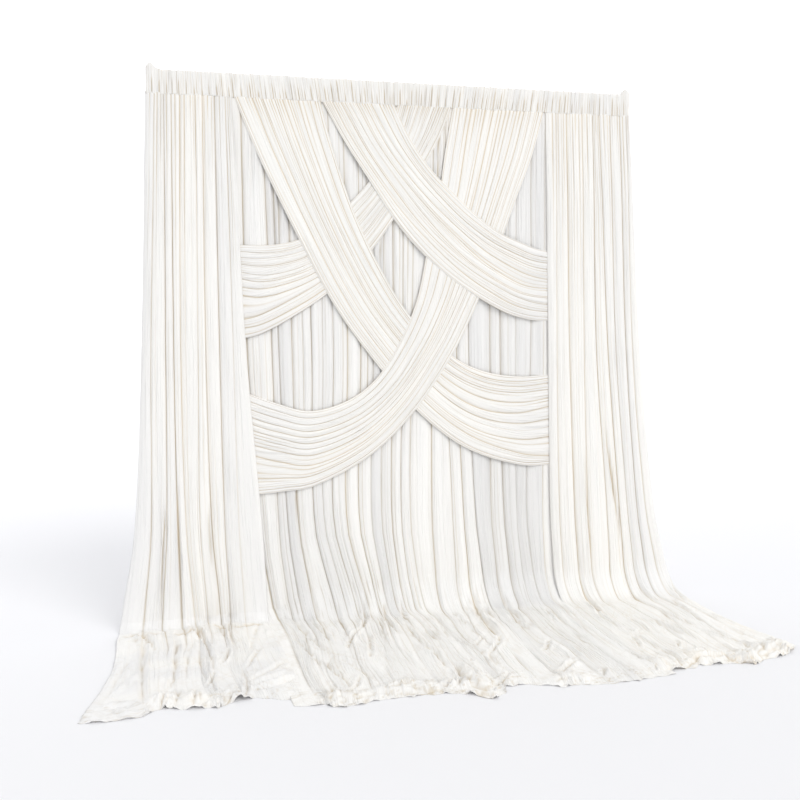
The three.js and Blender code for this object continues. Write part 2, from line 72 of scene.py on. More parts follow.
# Stages down a long cloth: 0 at the seam, 1 to 2 through the bend at the floor, 3 at the hem.
# A pair says where something begins and where it is full. The fullness is how high the folds
# stand, and the heads of all the cloths go up and back into the foot of the heading.
WAIST_Z = -1.5
KNEE_Z = -2.5
FOOT_STAGE = 1.5
TRAIN_STAGE = 2.5
TRAIN_RUN = 1.3
SEAM_ROW = 0.002
SEAM_GATHER = 0.045
WRINKLED = (1.2, 1.8)
LYING = (1.6, 2.2)
LANDING_LINE = 2.05
PAST_LANDING = (1.95, 2.5)
NEAR_HEM = (2.72, 2.88)
HEM = (2.80, 2.97)
HEM_EDGE = (2.91, 3.0)
FULLNESS_STAGES = (0, 0.06, 0.2, 1, 2, 2.6, 3)
FULLNESS = (0.33, 0.5, 0.9, 1, 0.9, 0.8, 0.45)
HEAD_TUCK = 9 * MM
HEAD_SINK = 0.27 * HEAD_TUCK

# Where the grid has columns across a narrow pleat, as shares of its width, how deep the crease
# between two of them is, in millimetres, and how much less it is on the floor
FLANK_PART = 0.18
BACK_PARTS = (0, FLANK_PART, 0.82)
PLEAT_PARTS = (0, FLANK_PART, 0.5, 0.82)
PLEAT_RELIEF = 5
FLOOR_LOSS = 2.8

# How a long cloth stands, first in millimetres: Y of its back at the seam and where it hangs
# free, the radius of its bend at the floor, at its left edge and further on, the height of its
# crests, the mean width of its narrow pleats, how high its train lies, how far in from its
# right edge it stands forward, 0 for nowhere, and how wide its two edges curl back. Then, as
# shares, how much it buckles where it lands, how much of its grooves runs on over the floor and
# how much painted shade greys its train. Last, the rows of its grid down to the bend, through it
# and along the train, its columns across a narrow pleat, and the seed of its noise. The bend
# changes from one radius to the other between two places, in metres from the left edge.
Shape = namedtuple(
    "Shape", "seam_y hang_y bend crest pitch lift beside rims landing ribs grey rows parts seed"
)
BEND_OPENS = (0.05, 0.45)
BACK_SHAPE = Shape(
    seam_y=6, hang_y=22, bend=(70, 200), crest=18, pitch=23, lift=0, beside=92, rims=(45, 45),
    landing=0.1, ribs=0.6, grey=0, rows=(28, 14, 155), parts=BACK_PARTS, seed=11,
)

# One groove to a row, with the cloth's edges first and last: X at six stages, how far the
# hem reaches forward there, in millimetres, and the depth as a share of the crest. Then how
# finely the cloth is pleated from there to the next groove, and how much painted shade greys
# it, 0 to 1.
Fold = namedtuple("Fold", "seam waist knee foot train hem reach depth fine grey")
BACK_FOLDS = (
    (-985, -940, -880, -850, -865, -850, 1290, 0.6, 0.3, 0),
    (-905, -884, -817, -738, -735, -735, 1320, 0.9, 0.5, 0.1),
    (-790, -750, -718, -660, -660, -668, 1350, 0.8, 0.8, 0.8),
    (-740, -708, -664, -595, -605, -615, 1368, 0.9, 0.3, 0.9),
    (-655, -632, -606, -525, -545, -555, 1362, 0.9, 0.7, 0.3),
    (-560, -523, -513, -410, -430, -450, 1340, 1.0, 0.4, 0.5),
    (-480, -462, -458, -345, -370, -390, 1320, 0.6, 0.5, 0.4),
    (-425, -400, -400, -285, -310, -330, 1322, 0.7, 0.8, 0.2),
    (-340, -315, -325, -215, -245, -265, 1318, 0.5, 1, 0),
    (-255, -238, -250, -155, -185, -205, 1322, 0.8, 1, 0),
    (-165, -165, -178, -100, -120, -140, 1328, 0.6, 0.3, 0.7),
    (-100, -108, -118, -50, -65, -80, 1335, 0.7, 0.6, 0.4),
    (-48, -50, -54, 2, -5, -20, 1395, 1.0, 0.7, 0.1),
    (14, 10, 2, 58, 55, 48, 1448, 0.8, 0.8, 0),
    (80, 66, 56, 116, 112, 112, 1405, 0.6, 0.2, 0),
    (190, 188, 187, 218, 195, 182, 1310, 1.0, 0.2, 0.1),
    (262, 274, 318, 345, 300, 286, 1312, 0.8, 0.5, 0),
    (330, 338, 386, 424, 372, 350, 1352, 1.0, 0.5, 0),
    (398, 412, 462, 520, 462, 446, 1385, 0.9, 0.1, 1),
    (530, 543, 560, 605, 552, 548, 1385, 0.9, 0.4, 0.4),
    (600, 608, 644, 695, 640, 640, 1402, 1.0, 0.5, 0.7),
    (695, 706, 722, 772, 735, 738, 1412, 0.5, 0.2, 0.8),
    (785, 800, 788, 845, 815, 826, 1405, 0.6, 0.15, 0.9),
    (870, 880, 888, 912, 880, 894, 1385, 0.5, 0.2, 0),
    (945, 975, 985, 1030, 1012, 1030, 1360, 0.6, 0.2, 0),
)

# Where the train stands off the floor: the middle of each puff, its half widths across and
# along the train, and its height, in millimetres.
PUFFS = (
    (-1420, -1110, 60, 60, 24),
    (-1285, -1125, 45, 60, 20),
    (-1145, -1150, 90, 55, 20),
    (-625, -1270, 80, 60, 24),
    (-290, -1240, 130, 70, 26),
    (50, -1180, 60, 240, 42),
    (40, -720, 55, 160, 24),
    (440, -520, 60, 130, 22),
    (480, -1310, 90, 55, 26),
    (1000, -1240, 60, 70, 26),
    (1260, -1180, 110, 60, 24),
    (1480, -1280, 60, 60, 30),
    (1690, -1200, 90, 70, 26),
)

# The wrinkles that show most on the train: a line through three places on the floor, its half
# width and how deep it is, less than 0 for a ridge, all in millimetres. The deepest creases of
# the hanging part are given in the same way, with Z in place of Y. Painted shade darkens the
# middle of each trough.
BACK_CREASES = (
    (-941, -110, -937, -220, -932, -330, 5, 22),
    (-854, -330, -853, -460, -854, -600, 6, 15),
    (-738, -560, -735, -755, -732, -930, 6, 16),
    (-703, -640, -701, -782, -700, -900, 6, 14),
    (-133, -870, -122, -1007, -116, -1190, 6, 12),
    (268, -130, 233, -255, 209, -400, 6, 12),
    (225, -310, 222, -413, 217, -510, 6, 15),
    (-804, -1380, -797, -1669, -788, -1920, 6, 12),
    (-616, -2200, -613, -2550, -570, -2800, 6, 12),
)
BACK_WRINKLES = (
    (-700, -400, -660, -650, -640, -900, 9, 7),
    (-645, -130, -620, -400, -560, -680, 9, 8),
    (-565, 0, -550, -200, -515, -540, 9, 8),
    (-590, -790, -600, -890, -560, -1050, 10, 10),
    (-235, 0, -260, -170, -320, -330, 9, 11),
    (-315, -330, -390, -430, -450, -610, 9, 11),
    (-375, 0, -400, -150, -405, -330, 8, 6),
    (-185, -200, -200, -320, -230, -560, 8, 7),
    (-110, 0, -140, -200, -130, -460, 9, 10),
    (-55, -300, -62, -560, -45, -760, 9, 9),
    (-50, -740, -35, -880, -45, -1010, 10, 11),
    (-300, -420, -335, -620, -375, -780, 9, 8),
    (-10, -30, -30, -150, -45, -300, 9, 7),
    (20, -420, 25, -560, 35, -660, 10, 10),
    (75, -400, 68, -480, 60, -560, 7, 6),
    (135, -240, 120, -420, 100, -620, 8, 5),
    (260, -170, 270, -320, 280, -570, 9, 8),
    (450, 30, 400, -200, 370, -390, 11, 15),
    (398, -330, 378, -480, 368, -630, 12, 15),
    (472, -70, 470, -200, 460, -330, 10, 10),
    (385, -630, 320, -760, 245, -870, 10, 10),
    (300, -600, 245, -690, 200, -770, 8, 6),
    (245, -860, 225, -930, 240, -1060, 9, 6),
    (125, -640, 200, -850, 215, -1060, 9, 7),
    (0, -1060, -20, -1170, -60, -1280, 11, 13),
    (-2, -1180, 8, -1330, 62, -1395, 9, 7),
    (115, -1320, 160, -1265, 225, -1175, 10, 11),
    (68, -1090, 90, -1010, 112, -950, 8, 6),
    (-640, -1090, -655, -1200, -680, -1300, 10, 11),
    (-485, -1040, -535, -1160, -600, -1250, 9, 8),
    (-305, -1120, -322, -1180, -300, -1240, 8, 8),
    (-345, -1290, -260, -1312, -175, -1300, 10, 11),
    (-160, -1295, -100, -1240, -45, -1170, 10, 11),
    (-480, -1215, -400, -1255, -330, -1260, 12, -9),
    (-555, -640, -485, -740, -400, -840, 12, 5),
    (-525, -770, -465, -950, -420, -1100, 12, 6),
    (640, 60, 608, -200, 622, -640, 10, 9),
    (555, -340, 575, -480, 590, -610, 8, 6),
    (618, -740, 575, -840, 525, -895, 10, 11),
    (598, -830, 600, -960, 620, -1080, 9, 8),
    (625, -1075, 560, -1150, 475, -1235, 11, 13),
    (830, -190, 800, -330, 768, -490, 8, 6),
    (722, -430, 712, -800, 702, -1190, 9, 4),
    (850, -130, 805, -600, 762, -1000, 9, 5),
    (960, -80, 920, -500, 900, -900, 9, 4),
    (660, -1330, 690, -1270, 700, -1210, 9, 8),
)

# Straight pieces in a wrinkle's line, and points each way in the lattice of the noise
WRINKLE_STEPS = 12
LATTICE = 256


def curve_at(stations, values, s):
    """A smooth curve through the values that stand at the stations, read at every s."""
    stations = np.asarray(stations, float)
    values = np.asarray(values, float)
    s = np.clip(np.asarray(s, float), stations[0], stations[-1])
    last = len(stations) - 1
    before = np.maximum(np.arange(last + 1) - 1, 0)
    after = np.minimum(np.arange(last + 1) + 1, last)
    runs = (stations[after] - stations[before]).reshape((-1,) + (1,) * (values.ndim - 1))
    slopes = (values[after] - values[before]) / runs
    k = np.clip(np.searchsorted(stations, s, side="right") - 1, 0, last - 1)
    width = stations[k + 1] - stations[k]
    f = (s - stations[k]) / width
    spare = (1,) * (values.ndim - 1)
    f, width = f.reshape(f.shape + spare), width.reshape(width.shape + spare)
    rise = f * f * (3 - 2 * f)
    leave = f * (1 - f) ** 2 * width * slopes[k]
    arrive = f * f * (1 - f) * width * slopes[k + 1]
    return values[k] + (values[k + 1] - values[k]) * rise + leave - arrive


def ripples(seed, u, v):
    """Smooth seeded noise from -1 to 1, with about one swell to each step of u and of v."""
    lattice = np.random.default_rng(seed).uniform(-1, 1, (LATTICE, LATTICE))
    cell_u, cell_v = np.floor(u).astype(int), np.floor(v).astype(int)
    fu, fv = u - cell_u, v - cell_v
    fu, fv = fu * fu * (3 - 2 * fu), fv * fv * (3 - 2 * fv)

    def corner(a, b):
        return lattice[(cell_u + a) % LATTICE, (cell_v + b) % LATTICE]

    low = corner(0, 0) * (1 - fu) + corner(1, 0) * fu
    high = corner(0, 1) * (1 - fu) + corner(1, 1) * fu
    return low * (1 - fv) + high * fv


def smooth_step(value, low, high):
    """From 0 at low to 1 at high, level at both ends."""
    f = np.clip((value - low) / (high - low), 0, 1)
    return f * f * (3 - 2 * f)


def narrow_pleats(widths, pitch, seed, pleat_parts):
    """Columns across bands of the given widths. Each band is split into narrow pleats of
    uneven width, with a crease where two meet: the place of each column as band number plus
    share, its share of the pleat, and the number of the crease that it stands nearest to."""
    spread = np.random.default_rng(seed)
    places, parts, creases = [], [], []
    count = 0
    for band, width in enumerate(widths):
        pleats = spread.uniform(0.55, 1.45, max(1, round(width / pitch)))
        if band == 0:
            pleats[0] = 0.5
        if band == len(widths) - 1:
            pleats[-1] = 0.5
        edges = np.append(0, np.cumsum(pleats)) / pleats.sum()
        for start, end in zip(edges, edges[1:]):
            for part in pleat_parts:
                places.append(band + start + (end - start) * part)
                parts.append(part)
                creases.append(count + (part > 0.5))
            count += 1
    return np.append(places, len(widths)), np.append(parts, 0), np.append(creases, count)


def across_bands(table, place):
    """Values between the grooves of a table, whose last axis holds one groove each."""
    band = np.minimum(place.astype(int), table.shape[-1] - 2)
    share = place - band
    return table[..., band] * (1 - share) + table[..., band + 1] * share


def groove_flank(share, band, swing, seed):
    """How near each column is to a main groove, 0 to 1, where the crowns lean to one side."""
    lean = 1 + swing * np.random.default_rng(seed).uniform(-0.6, 1, band.max() + 1)[band]
    return (1 - np.sin(pi * share**lean) ** 0.33)[None, :]


def cloth_sheet(name, points, cut, crease, train=None, grey=None, joined=False):
    """A thin sheet on a grid of points from its head down, with the cut in metres as its UV
    map, and three masks as attributes: crease, painted shade that is 1 in the grooves, train,
    1 on the floor, and grey, painted shade that is 1 where it greys the cloth most."""
    rows, columns = points.shape[:2]
    bpy.ops.object.select_all(action="DESELECT")
    bpy.ops.mesh.primitive_grid_add(x_subdivisions=columns - 1, y_subdivisions=rows - 1, size=1)
    sheet = bpy.context.object
    sheet.name = name
    mesh = sheet.data
    mesh.vertices.foreach_set("co", points[::-1].reshape(-1))
    corners = np.empty(len(mesh.loops), int)
    mesh.loops.foreach_get("vertex_index", corners)
    mesh.uv_layers[0].data.foreach_set("uv", cut[::-1].reshape(-1, 2)[corners].reshape(-1))
    crease = np.clip(crease, 0, 1)
    for label, values in (("crease", crease), ("train", train), ("grey", grey)):
        if values is not None:
            mask = mesh.attributes.new(label, "FLOAT", "POINT")
            mask.data.foreach_set("value", values[::-1].reshape(-1))
    mesh.update()
    if joined:
        bpy.ops.object.mode_set(mode="EDIT")
        bpy.ops.mesh.select_all(action="SELECT")
        bpy.ops.mesh.remove_doubles(threshold=1e-5)
        bpy.ops.object.mode_set(mode="OBJECT")
    bpy.ops.object.shade_smooth()
    wall = sheet.modifiers.new("wall", "SOLIDIFY")
    wall.thickness = CLOTH
    wall.offset = -1
    bpy.ops.object.modifier_apply(modifier="wall")
    return sheet


def jersey_group():
    """Fine jersey knit: wales, pulled threads and thin crease lines as relief, warm and cooler
    stretches, painted shade that greys the cloth where its mask says, and painted shade as
    darker lines in the creases. The cloth is crumpled where it lies, with painted shade in its
    crumples."""
    group = bpy.data.node_groups.new("jersey_knit", "ShaderNodeTree")
    face = group.interface
    for name in ("Warm", "Cool", "Groove", "Shade"):
        face.new_socket(name, in_out="INPUT", socket_type="NodeSocketColor")
    face.new_socket("Color", in_out="OUTPUT", socket_type="NodeSocketColor")
    face.new_socket("Roughness", in_out="OUTPUT", socket_type="NodeSocketFloat")
    face.new_socket("Normal", in_out="OUTPUT", socket_type="NodeSocketVector")
    nodes, link = group.nodes, group.links.new
    given = nodes.new("NodeGroupInput")
    result = nodes.new("NodeGroupOutput")
    cut = nodes.new("ShaderNodeUVMap")
    cut.uv_map = "UVMap"

    def pulled(across, along, detail, bent=0.0, turn=0):
        turned = nodes.new("ShaderNodeMapping")
        turned.inputs["Rotation"].default_value = (0, 0, radians(turn))
        link(cut.outputs["UV"], turned.inputs["Vector"])
        stretch = nodes.new("ShaderNodeMapping")
        stretch.inputs["Scale"].default_value = (across, along, 1)
        link(turned.outputs["Vector"], stretch.inputs["Vector"])
        noise = nodes.new("ShaderNodeTexNoise")
        noise.inputs["Scale"].default_value = 1.0
        noise.inputs["Detail"].default_value = detail
        noise.inputs["Distortion"].default_value = bent
        link(stretch.outputs["Vector"], noise.inputs["Vector"])
        return noise.outputs["Fac"]

    def math(operation, first, second):
        node = nodes.new("ShaderNodeMath")
        node.operation = operation
        for socket, value in zip(node.inputs, (first, second)):
            if isinstance(value, (int, float)):
                socket.default_value = value
            else:
                link(value, socket)
        return node.outputs["Value"]

    def ramp(value, low, high):
        node = nodes.new("ShaderNodeMapRange")
        node.inputs["From Min"].default_value = low
        node.inputs["From Max"].default_value = high
        link(value, node.inputs["Value"])
        return node.outputs["Result"]

    def mixed(share, first, second):
        node = nodes.new("ShaderNodeMix")
        node.data_type = "RGBA"
        node.clamp_factor = True
        link(share, node.inputs["Factor"])
        link(first, node.inputs["A"])
        link(second, node.inputs["B"])
        return node.outputs["Result"]

    def mask_of(name):
        node = nodes.new("ShaderNodeAttribute")
        node.attribute_name = name
        return node.outputs["Fac"]

    def from_line(value):
        return math("ABSOLUTE", math("SUBTRACT", value, 0.5), 0)

    wales = nodes.new("ShaderNodeTexWave")
    wales.inputs["Scale"].default_value = 260.0
    wales.inputs["Distortion"].default_value = 0.6
    link(cut.outputs["UV"], wales.inputs["Vector"])
    creases = pulled(120, 4, 2.0)
    threads = pulled(520, 30, 1.0)
    lines = from_line(pulled(75, 1.4, 1.0, 0.3))
    folds = from_line(pulled(24, 2.2, 1.0, 0.3, 12))
    crossing = from_line(pulled(20, 2.6, 1.0, 0.3, -20))
    smooth = ramp(pulled(7, 3.5, 1.0), 0.62, 0.42)
    laid = mask_of("train")
    height = math("ADD", creases, math("MULTIPLY", threads, 0.3))
    height = math("ADD", height, math("MULTIPLY", wales.outputs["Fac"], 0.06))
    height = math("ADD", height, math("MULTIPLY", ramp(lines, 0.0, 0.14), 0.8))
    crumple = math("ADD", ramp(folds, 0.0, 0.10), ramp(crossing, 0.0, 0.10))
    crumple = math("MULTIPLY", crumple, math("MULTIPLY", laid, smooth))
    height = math("ADD", height, math("MULTIPLY", crumple, 0.35))
    bump = nodes.new("ShaderNodeBump")
    bump.inputs["Strength"].default_value = 0.79
    bump.inputs["Distance"].default_value = 0.003
    link(height, bump.inputs["Height"])
    link(bump.outputs["Normal"], result.inputs["Normal"])

    # Painted shade: the crease mask and thin crumple lines on the train darken the colour towards
    # the groove colours
    grain = math("ADD", 0.65, math("MULTIPLY", creases, 0.7))
    mask = math("MULTIPLY", mask_of("crease"), grain)
    crumple_shade = math("ADD", ramp(folds, 0.03, 0.0), ramp(crossing, 0.03, 0.0))
    crumple_shade = math("MULTIPLY", crumple_shade, math("MULTIPLY", laid, smooth))
    mask = math("ADD", mask, math("MULTIPLY", crumple_shade, 0.12))
    # Random cooler stretches, and painted shade where the grey mask greys the cloth
    cool_and_shade = math("MULTIPLY", ramp(pulled(9, 0.5, 1.0), 0.44, 0.60), 0.2)
    cool_and_shade = math("ADD", cool_and_shade, mask_of("grey"))
    plain = mixed(cool_and_shade, given.outputs["Warm"], given.outputs["Cool"])
    shaded = mixed(mask, plain, mixed(cool_and_shade, given.outputs["Groove"], given.outputs["Shade"]))
    shaded.node.blend_type = "MULTIPLY"
    link(shaded, result.inputs["Color"])
    link(math("ADD", 0.78, math("MULTIPLY", threads, 0.15)), result.inputs["Roughness"])
    return group


jersey_knit = jersey_group()


def jersey(name, **colours):
    """A jersey material with its colours: warm stretches, cooler stretches that also serve as
    painted shade, and the painted shade of the creases.
    """
    material = bpy.data.materials.new(name)
    material.use_nodes = True
    nodes, link = material.node_tree.nodes, material.node_tree.links.new
    knit = nodes.new("ShaderNodeGroup")
    knit.node_tree = jersey_knit
    for socket, colour in colours.items():
        knit.inputs[socket].default_value = (*colour, 1)
    cloth = nodes["Principled BSDF"]
    cloth.inputs["Sheen Weight"].default_value = 0.1
    cloth.inputs["Sheen Roughness"].default_value = 0.4
    cloth.inputs["Specular IOR Level"].default_value = 0.3
    for socket in ("Color", "Roughness", "Normal"):
        link(knit.outputs[socket], cloth.inputs["Base Color" if socket == "Color" else socket])
    return material


def puff_height(x, y):
    """How far the puffs lift the train at each place."""
    height = np.zeros_like(x)
    for middle_x, middle_y, half_width, half_length, high in PUFFS:
        across = (x / MM - middle_x) / half_width
        along = (y / MM - middle_y) / half_length
        height += high * MM * np.exp(-across * across - along * along)
    return height


def wrinkled(x, y, wrinkles):
    """How far the wrinkles raise the cloth at each place, and how much painted shade darkens
    their creases.
    """
    rise, trough_shade = np.zeros_like(x), np.zeros_like(x)
    t = np.linspace(0, 1, WRINKLE_STEPS + 1)
    pulls = ((1 - t) * (1 - 2 * t), 4 * t * (1 - t), t * (2 * t - 1))
    for *places, half_width, deep in wrinkles:
        along_x = sum(pull * place for pull, place in zip(pulls, places[0::2])) * MM
        along_y = sum(pull * place for pull, place in zip(pulls, places[1::2])) * MM
        wide = half_width * MM
        near = (x > along_x.min() - 4 * wide) & (x < along_x.max() + 4 * wide)
        near &= (y > along_y.min() - 4 * wide) & (y < along_y.max() + 4 * wide)
        if not near.any():
            continue
        nearest = np.full(near.sum(), np.inf)
        taper = np.zeros(near.sum())
        for i in range(WRINKLE_STEPS):
            run_x, run_y = along_x[i + 1] - along_x[i], along_y[i + 1] - along_y[i]
            part = (x[near] - along_x[i]) * run_x + (y[near] - along_y[i]) * run_y
            part = np.clip(part / (run_x**2 + run_y**2), 0, 1)
            off_x = x[near] - along_x[i] - part * run_x
            off_y = y[near] - along_y[i] - part * run_y
            away = np.hypot(off_x, off_y)
            closer = away < nearest
            nearest = np.where(closer, away, nearest)
            along = np.clip((i + part) / WRINKLE_STEPS, 0.02, 0.98)
            taper = np.where(closer, np.sin(pi * along), taper)
        taper = taper**0.5

        # A trough along the line with a low lip at each side, and painted shade only in its
        # middle
        trough = np.exp(-((nearest / wide) ** 1.4))
        lips = np.exp(-(((nearest - 2.1 * wide) / wide) ** 2))
        rise[near] += taper * deep * MM * (0.8 * lips - 1.3 * trough)
        if deep > 0:
            trough_shade[near] += taper * min(deep / 9, 1.2) * np.exp(-((nearest / (0.45 * wide)) ** 2))
    return rise, trough_shade


def long_cloth(name, folds, creases, wrinkles, shape):
    """A gathered cloth that hangs from the seam and runs out on the floor as a train."""
    seed = shape.seed
    open_bend = shape.bend[1] * MM
    hang_rows, bend_rows, train_rows = shape.rows
    hanging_stages = np.linspace(0, 1, hang_rows - 1, endpoint=False) ** 1.35
    stage = np.concatenate((
        (0,),
        SEAM_ROW + (1 - SEAM_ROW) * hanging_stages,
        np.linspace(1, 2, bend_rows, endpoint=False),
        np.linspace(2, 3, train_rows),
    ))

    def run_down(s, train):
        hanging = np.minimum(s, 1) * (SEAM_Z - (FLOOR_Z + open_bend))
        bent = np.clip(s - 1, 0, 1) * open_bend * pi / 2
        return hanging + bent + np.clip(s - 2, 0, 1) * train

    stations = (0, SEAM_Z - WAIST_Z, SEAM_Z - KNEE_Z)
    stations += tuple(run_down(s, TRAIN_RUN) for s in (FOOT_STAGE, TRAIN_STAGE, 3))
    folds = Fold(*np.array(folds, float).T)
    grooves = curve_at(stations, np.array(folds[:6]) * MM, run_down(stage, TRAIN_RUN))
    waist = folds.waist * MM
    place, part, number = narrow_pleats(np.diff(waist), shape.pitch * MM, seed, shape.parts)
    band = np.minimum(place.astype(int), len(waist) - 2)
    share = place - band

    # Each point's X, its X at the waist, its stage and the number of the crease nearest to it
    x = across_bands(grooves, place)
    c = across_bands(waist, place)[None, :] + 0 * x
    s = stage[:, None] + 0 * x
    k = number[None, :] + 0 * x
    depth = across_bands(folds.depth, place)[None, :]
    reach = across_bands(folds.reach * MM, place)[None, :]
    down = run_down(s, reach)
    floor = smooth_step(s, *LYING)
    beyond = smooth_step(s, *PAST_LANDING)
    near_seam = np.exp(-s / SEAM_GATHER)
    from_left = c - c[0, 0]
    from_right = c[0, -1] - c
    from_edge = np.minimum(from_left, from_right)
    fine = folds.fine[band][None, :]
    fine = fine + (1 - fine) * (1 - smooth_step(s, 0.02, 0.4))
    fine = fine * (1 - beyond) + (0.2 + shape.ribs) * beyond

    # Main folds: flats with a leaning crown and a narrow groove at each side
    flank = groove_flank(share, band, 0.55, seed + 20)
    faded = 1 - beyond * np.clip(1 - shape.ribs - ripples(seed + 22, c / 0.09, s * 3.6), 0, 1)
    groove = depth * flank * faded
    height = shape.crest * MM * (1 - groove * (0.85 + 0.15 * ripples(seed, k, s * 3)))
    height *= 0.9 + 0.2 * ripples(seed + 1, c / 0.06, s * 3)
    height *= curve_at(FULLNESS_STAGES, FULLNESS, stage)[:, None]

    # Narrow pleats, whose creases come and go down the length, with close gathers at the seam
    swells = s * 3.5 + np.clip(s - 1.6, 0, 2) * 2
    strength = np.clip(0.32 + 1.2 * ripples(seed + 2, k, swells), 0, 1)
    strength = np.clip(strength * fine + 0.5 * near_seam, 0, 1)
    narrow = (1 - np.sin(pi * part))[None, :] ** 2
    relief = (PLEAT_RELIEF - FLOOR_LOSS * floor) * MM
    height -= relief * narrow * strength * smooth_step(s, -0.05, 0.1)
    pinched = ripples(seed + 3, k * 1.7 + 0.3, s * 20)
    height += near_seam * (1.2 - 2.2 * (part == FLANK_PART)[None, :] * np.abs(pinched)) * MM
    height += ripples(seed + 4, c / 0.012, s * 4) * 0.7 * MM * (1 - near_seam)

    # Drift to the sides, least at the edges, which also curl back
    x += ripples(seed + 5, k * 0.37, s * 2.2) * 3.0 * MM * smooth_step(s, 0.05, 0.5)
    inside = smooth_step(from_edge, 0, 0.15)
    x += floor * inside * ripples(seed + 8, c / 0.12, s * 5) * 10 * MM
    x += floor * inside * ripples(seed + 26, k * 0.6, s * 7) * 0.2 * shape.pitch * MM
    x += floor * inside * ripples(seed + 21, c / 0.30, s * 2.6) * 26 * MM
    rims = [rim * MM * (1 + 1.5 * floor) for rim in shape.rims]
    left_curl = 1 - np.clip(from_left / rims[0], 0, 1)
    right_curl = 1 - np.clip(from_right / rims[1], 0, 1)
    height *= np.sqrt((1 - left_curl**2) * (1 - right_curl**2))

    # Where the cloth hangs, and how it runs forward through the bend and along the floor
    bend = (shape.bend[0] + np.diff(shape.bend) * smooth_step(from_left, *BEND_OPENS)) * MM
    bend_z = FLOOR_Z + bend
    hem = smooth_step(s, *HEM)
    forward = np.clip(s - 2, 0, 1) * (reach + shape.hang_y * MM - bend)
    hem_run = ripples(seed + 6, c / 0.05, 0 * s) * 16 + ripples(seed + 7, c / 0.025, 0 * s) * 8
    forward += hem * hem_run * MM
    base_y = (shape.seam_y + (shape.hang_y - shape.seam_y) * smooth_step(s, 0, 0.2)) * MM
    beside = np.exp(-(((from_right / MM - shape.beside) / 32) ** 2)) if shape.beside else 0
    base_y -= beside * (5 + 8 * smooth_step(s, 0, 0.2)) * MM
    foot_wave = 70 * MM * shape.landing * ripples(seed + 31, c / 0.055, 0 * s)
    base_y -= foot_wave * smooth_step(s, 0.8, 1.5)
    turn = np.clip(s - 1, 0, 1) * pi / 2
    y = base_y - bend * (1 - np.cos(turn)) - forward
    z = SEAM_Z + (bend_z - SEAM_Z) * np.minimum(s, 1) - bend * np.sin(turn)
    z[0] += HEAD_TUCK * (1 + 0.35 * ripples(seed + 25, k[0] * 0.8, 0 * c[0]))
    y[0] += HEAD_SINK

    # The train: its wrinkles, close crumples where the folds land and along the hem, and puffs
    drift_x = x + ripples(seed + 9, x / 0.11, y / 0.11) * 0.045
    drift_y = y + ripples(seed + 10, x / 0.09, y / 0.09) * 0.045
    wobble = ripples(seed + 17, x / 0.05, y / 0.05) * 4 * MM
    rise, trough_shade = wrinkled(x + wobble, y - wobble, wrinkles)
    gap, gap_shade = wrinkled(x, z, creases)
    coarse = 1 - np.abs(ripples(seed + 11, drift_x / 0.075, drift_y / 0.19))
    close = 1 - np.abs(ripples(seed + 12, drift_x / 0.034, drift_y / 0.075))
    landing = shape.landing * smooth_step(s, 1.6, 1.95) * (1 - smooth_step(s, 2.02, 2.2))
    line = LANDING_LINE + 0.045 * ripples(seed + 27, c / 0.05, 0 * s)
    line += 0.02 * ripples(seed + 30, c / 0.015, 0 * s)
    tucked = shape.landing * np.exp(-(((s - line) / 0.014) ** 2))
    tucked *= np.clip(0.4 + 1.3 * ripples(seed + 29, c / 0.035, 0 * s), 0, 1)
    gathered = shape.landing * np.exp(-(((s - line - 0.07) / 0.04) ** 2))
    gathered *= 0.5 + 0.8 * ripples(seed + 28, c / 0.04, 0 * s)
    puffs = puff_height(x, y) * smooth_step(s, 1.75, 2.4)
    crumpled = 0.12 * floor + landing + hem * (0.35 + 30 * puffs)
    patchy = 0.3 + 0.7 * np.clip(0.5 + ripples(seed + 13, x / 0.16, y / 0.13), 0, 1)
    bunched = 1 - np.abs(ripples(seed + 18, drift_x / 0.07, drift_y / 0.032))
    rolled = 1 - np.abs(ripples(seed + 14, drift_x / 0.045, drift_y / 0.032))
    near_hem = smooth_step(s, *NEAR_HEM) * (0.4 + 30 * puffs)
    height += floor * coarse**3 * 4 * MM + crumpled * patchy * close**3 * 7 * MM
    height += near_hem * patchy * (bunched**3 * 13 + rolled**3 * 7) * MM
    height += 1.5 * rise * smooth_step(s, *WRINKLED) + gap * (1 - floor)
    height += puffs + shape.lift * MM * floor + (gathered * 26 - tucked * 14) * MM
    curls = ripples(seed + 23, drift_x / 0.03, drift_y / 0.022)
    height *= 1 - (0.92 - 0.8 * np.clip(1.6 * curls, 0, 1)) * smooth_step(s, *HEM_EDGE)
    height = np.maximum(height, (1 + 0.5 * floor) * CLOTH)
    points = np.stack((x, y - np.cos(turn) * height, z + np.sin(turn) * height), axis=-1)

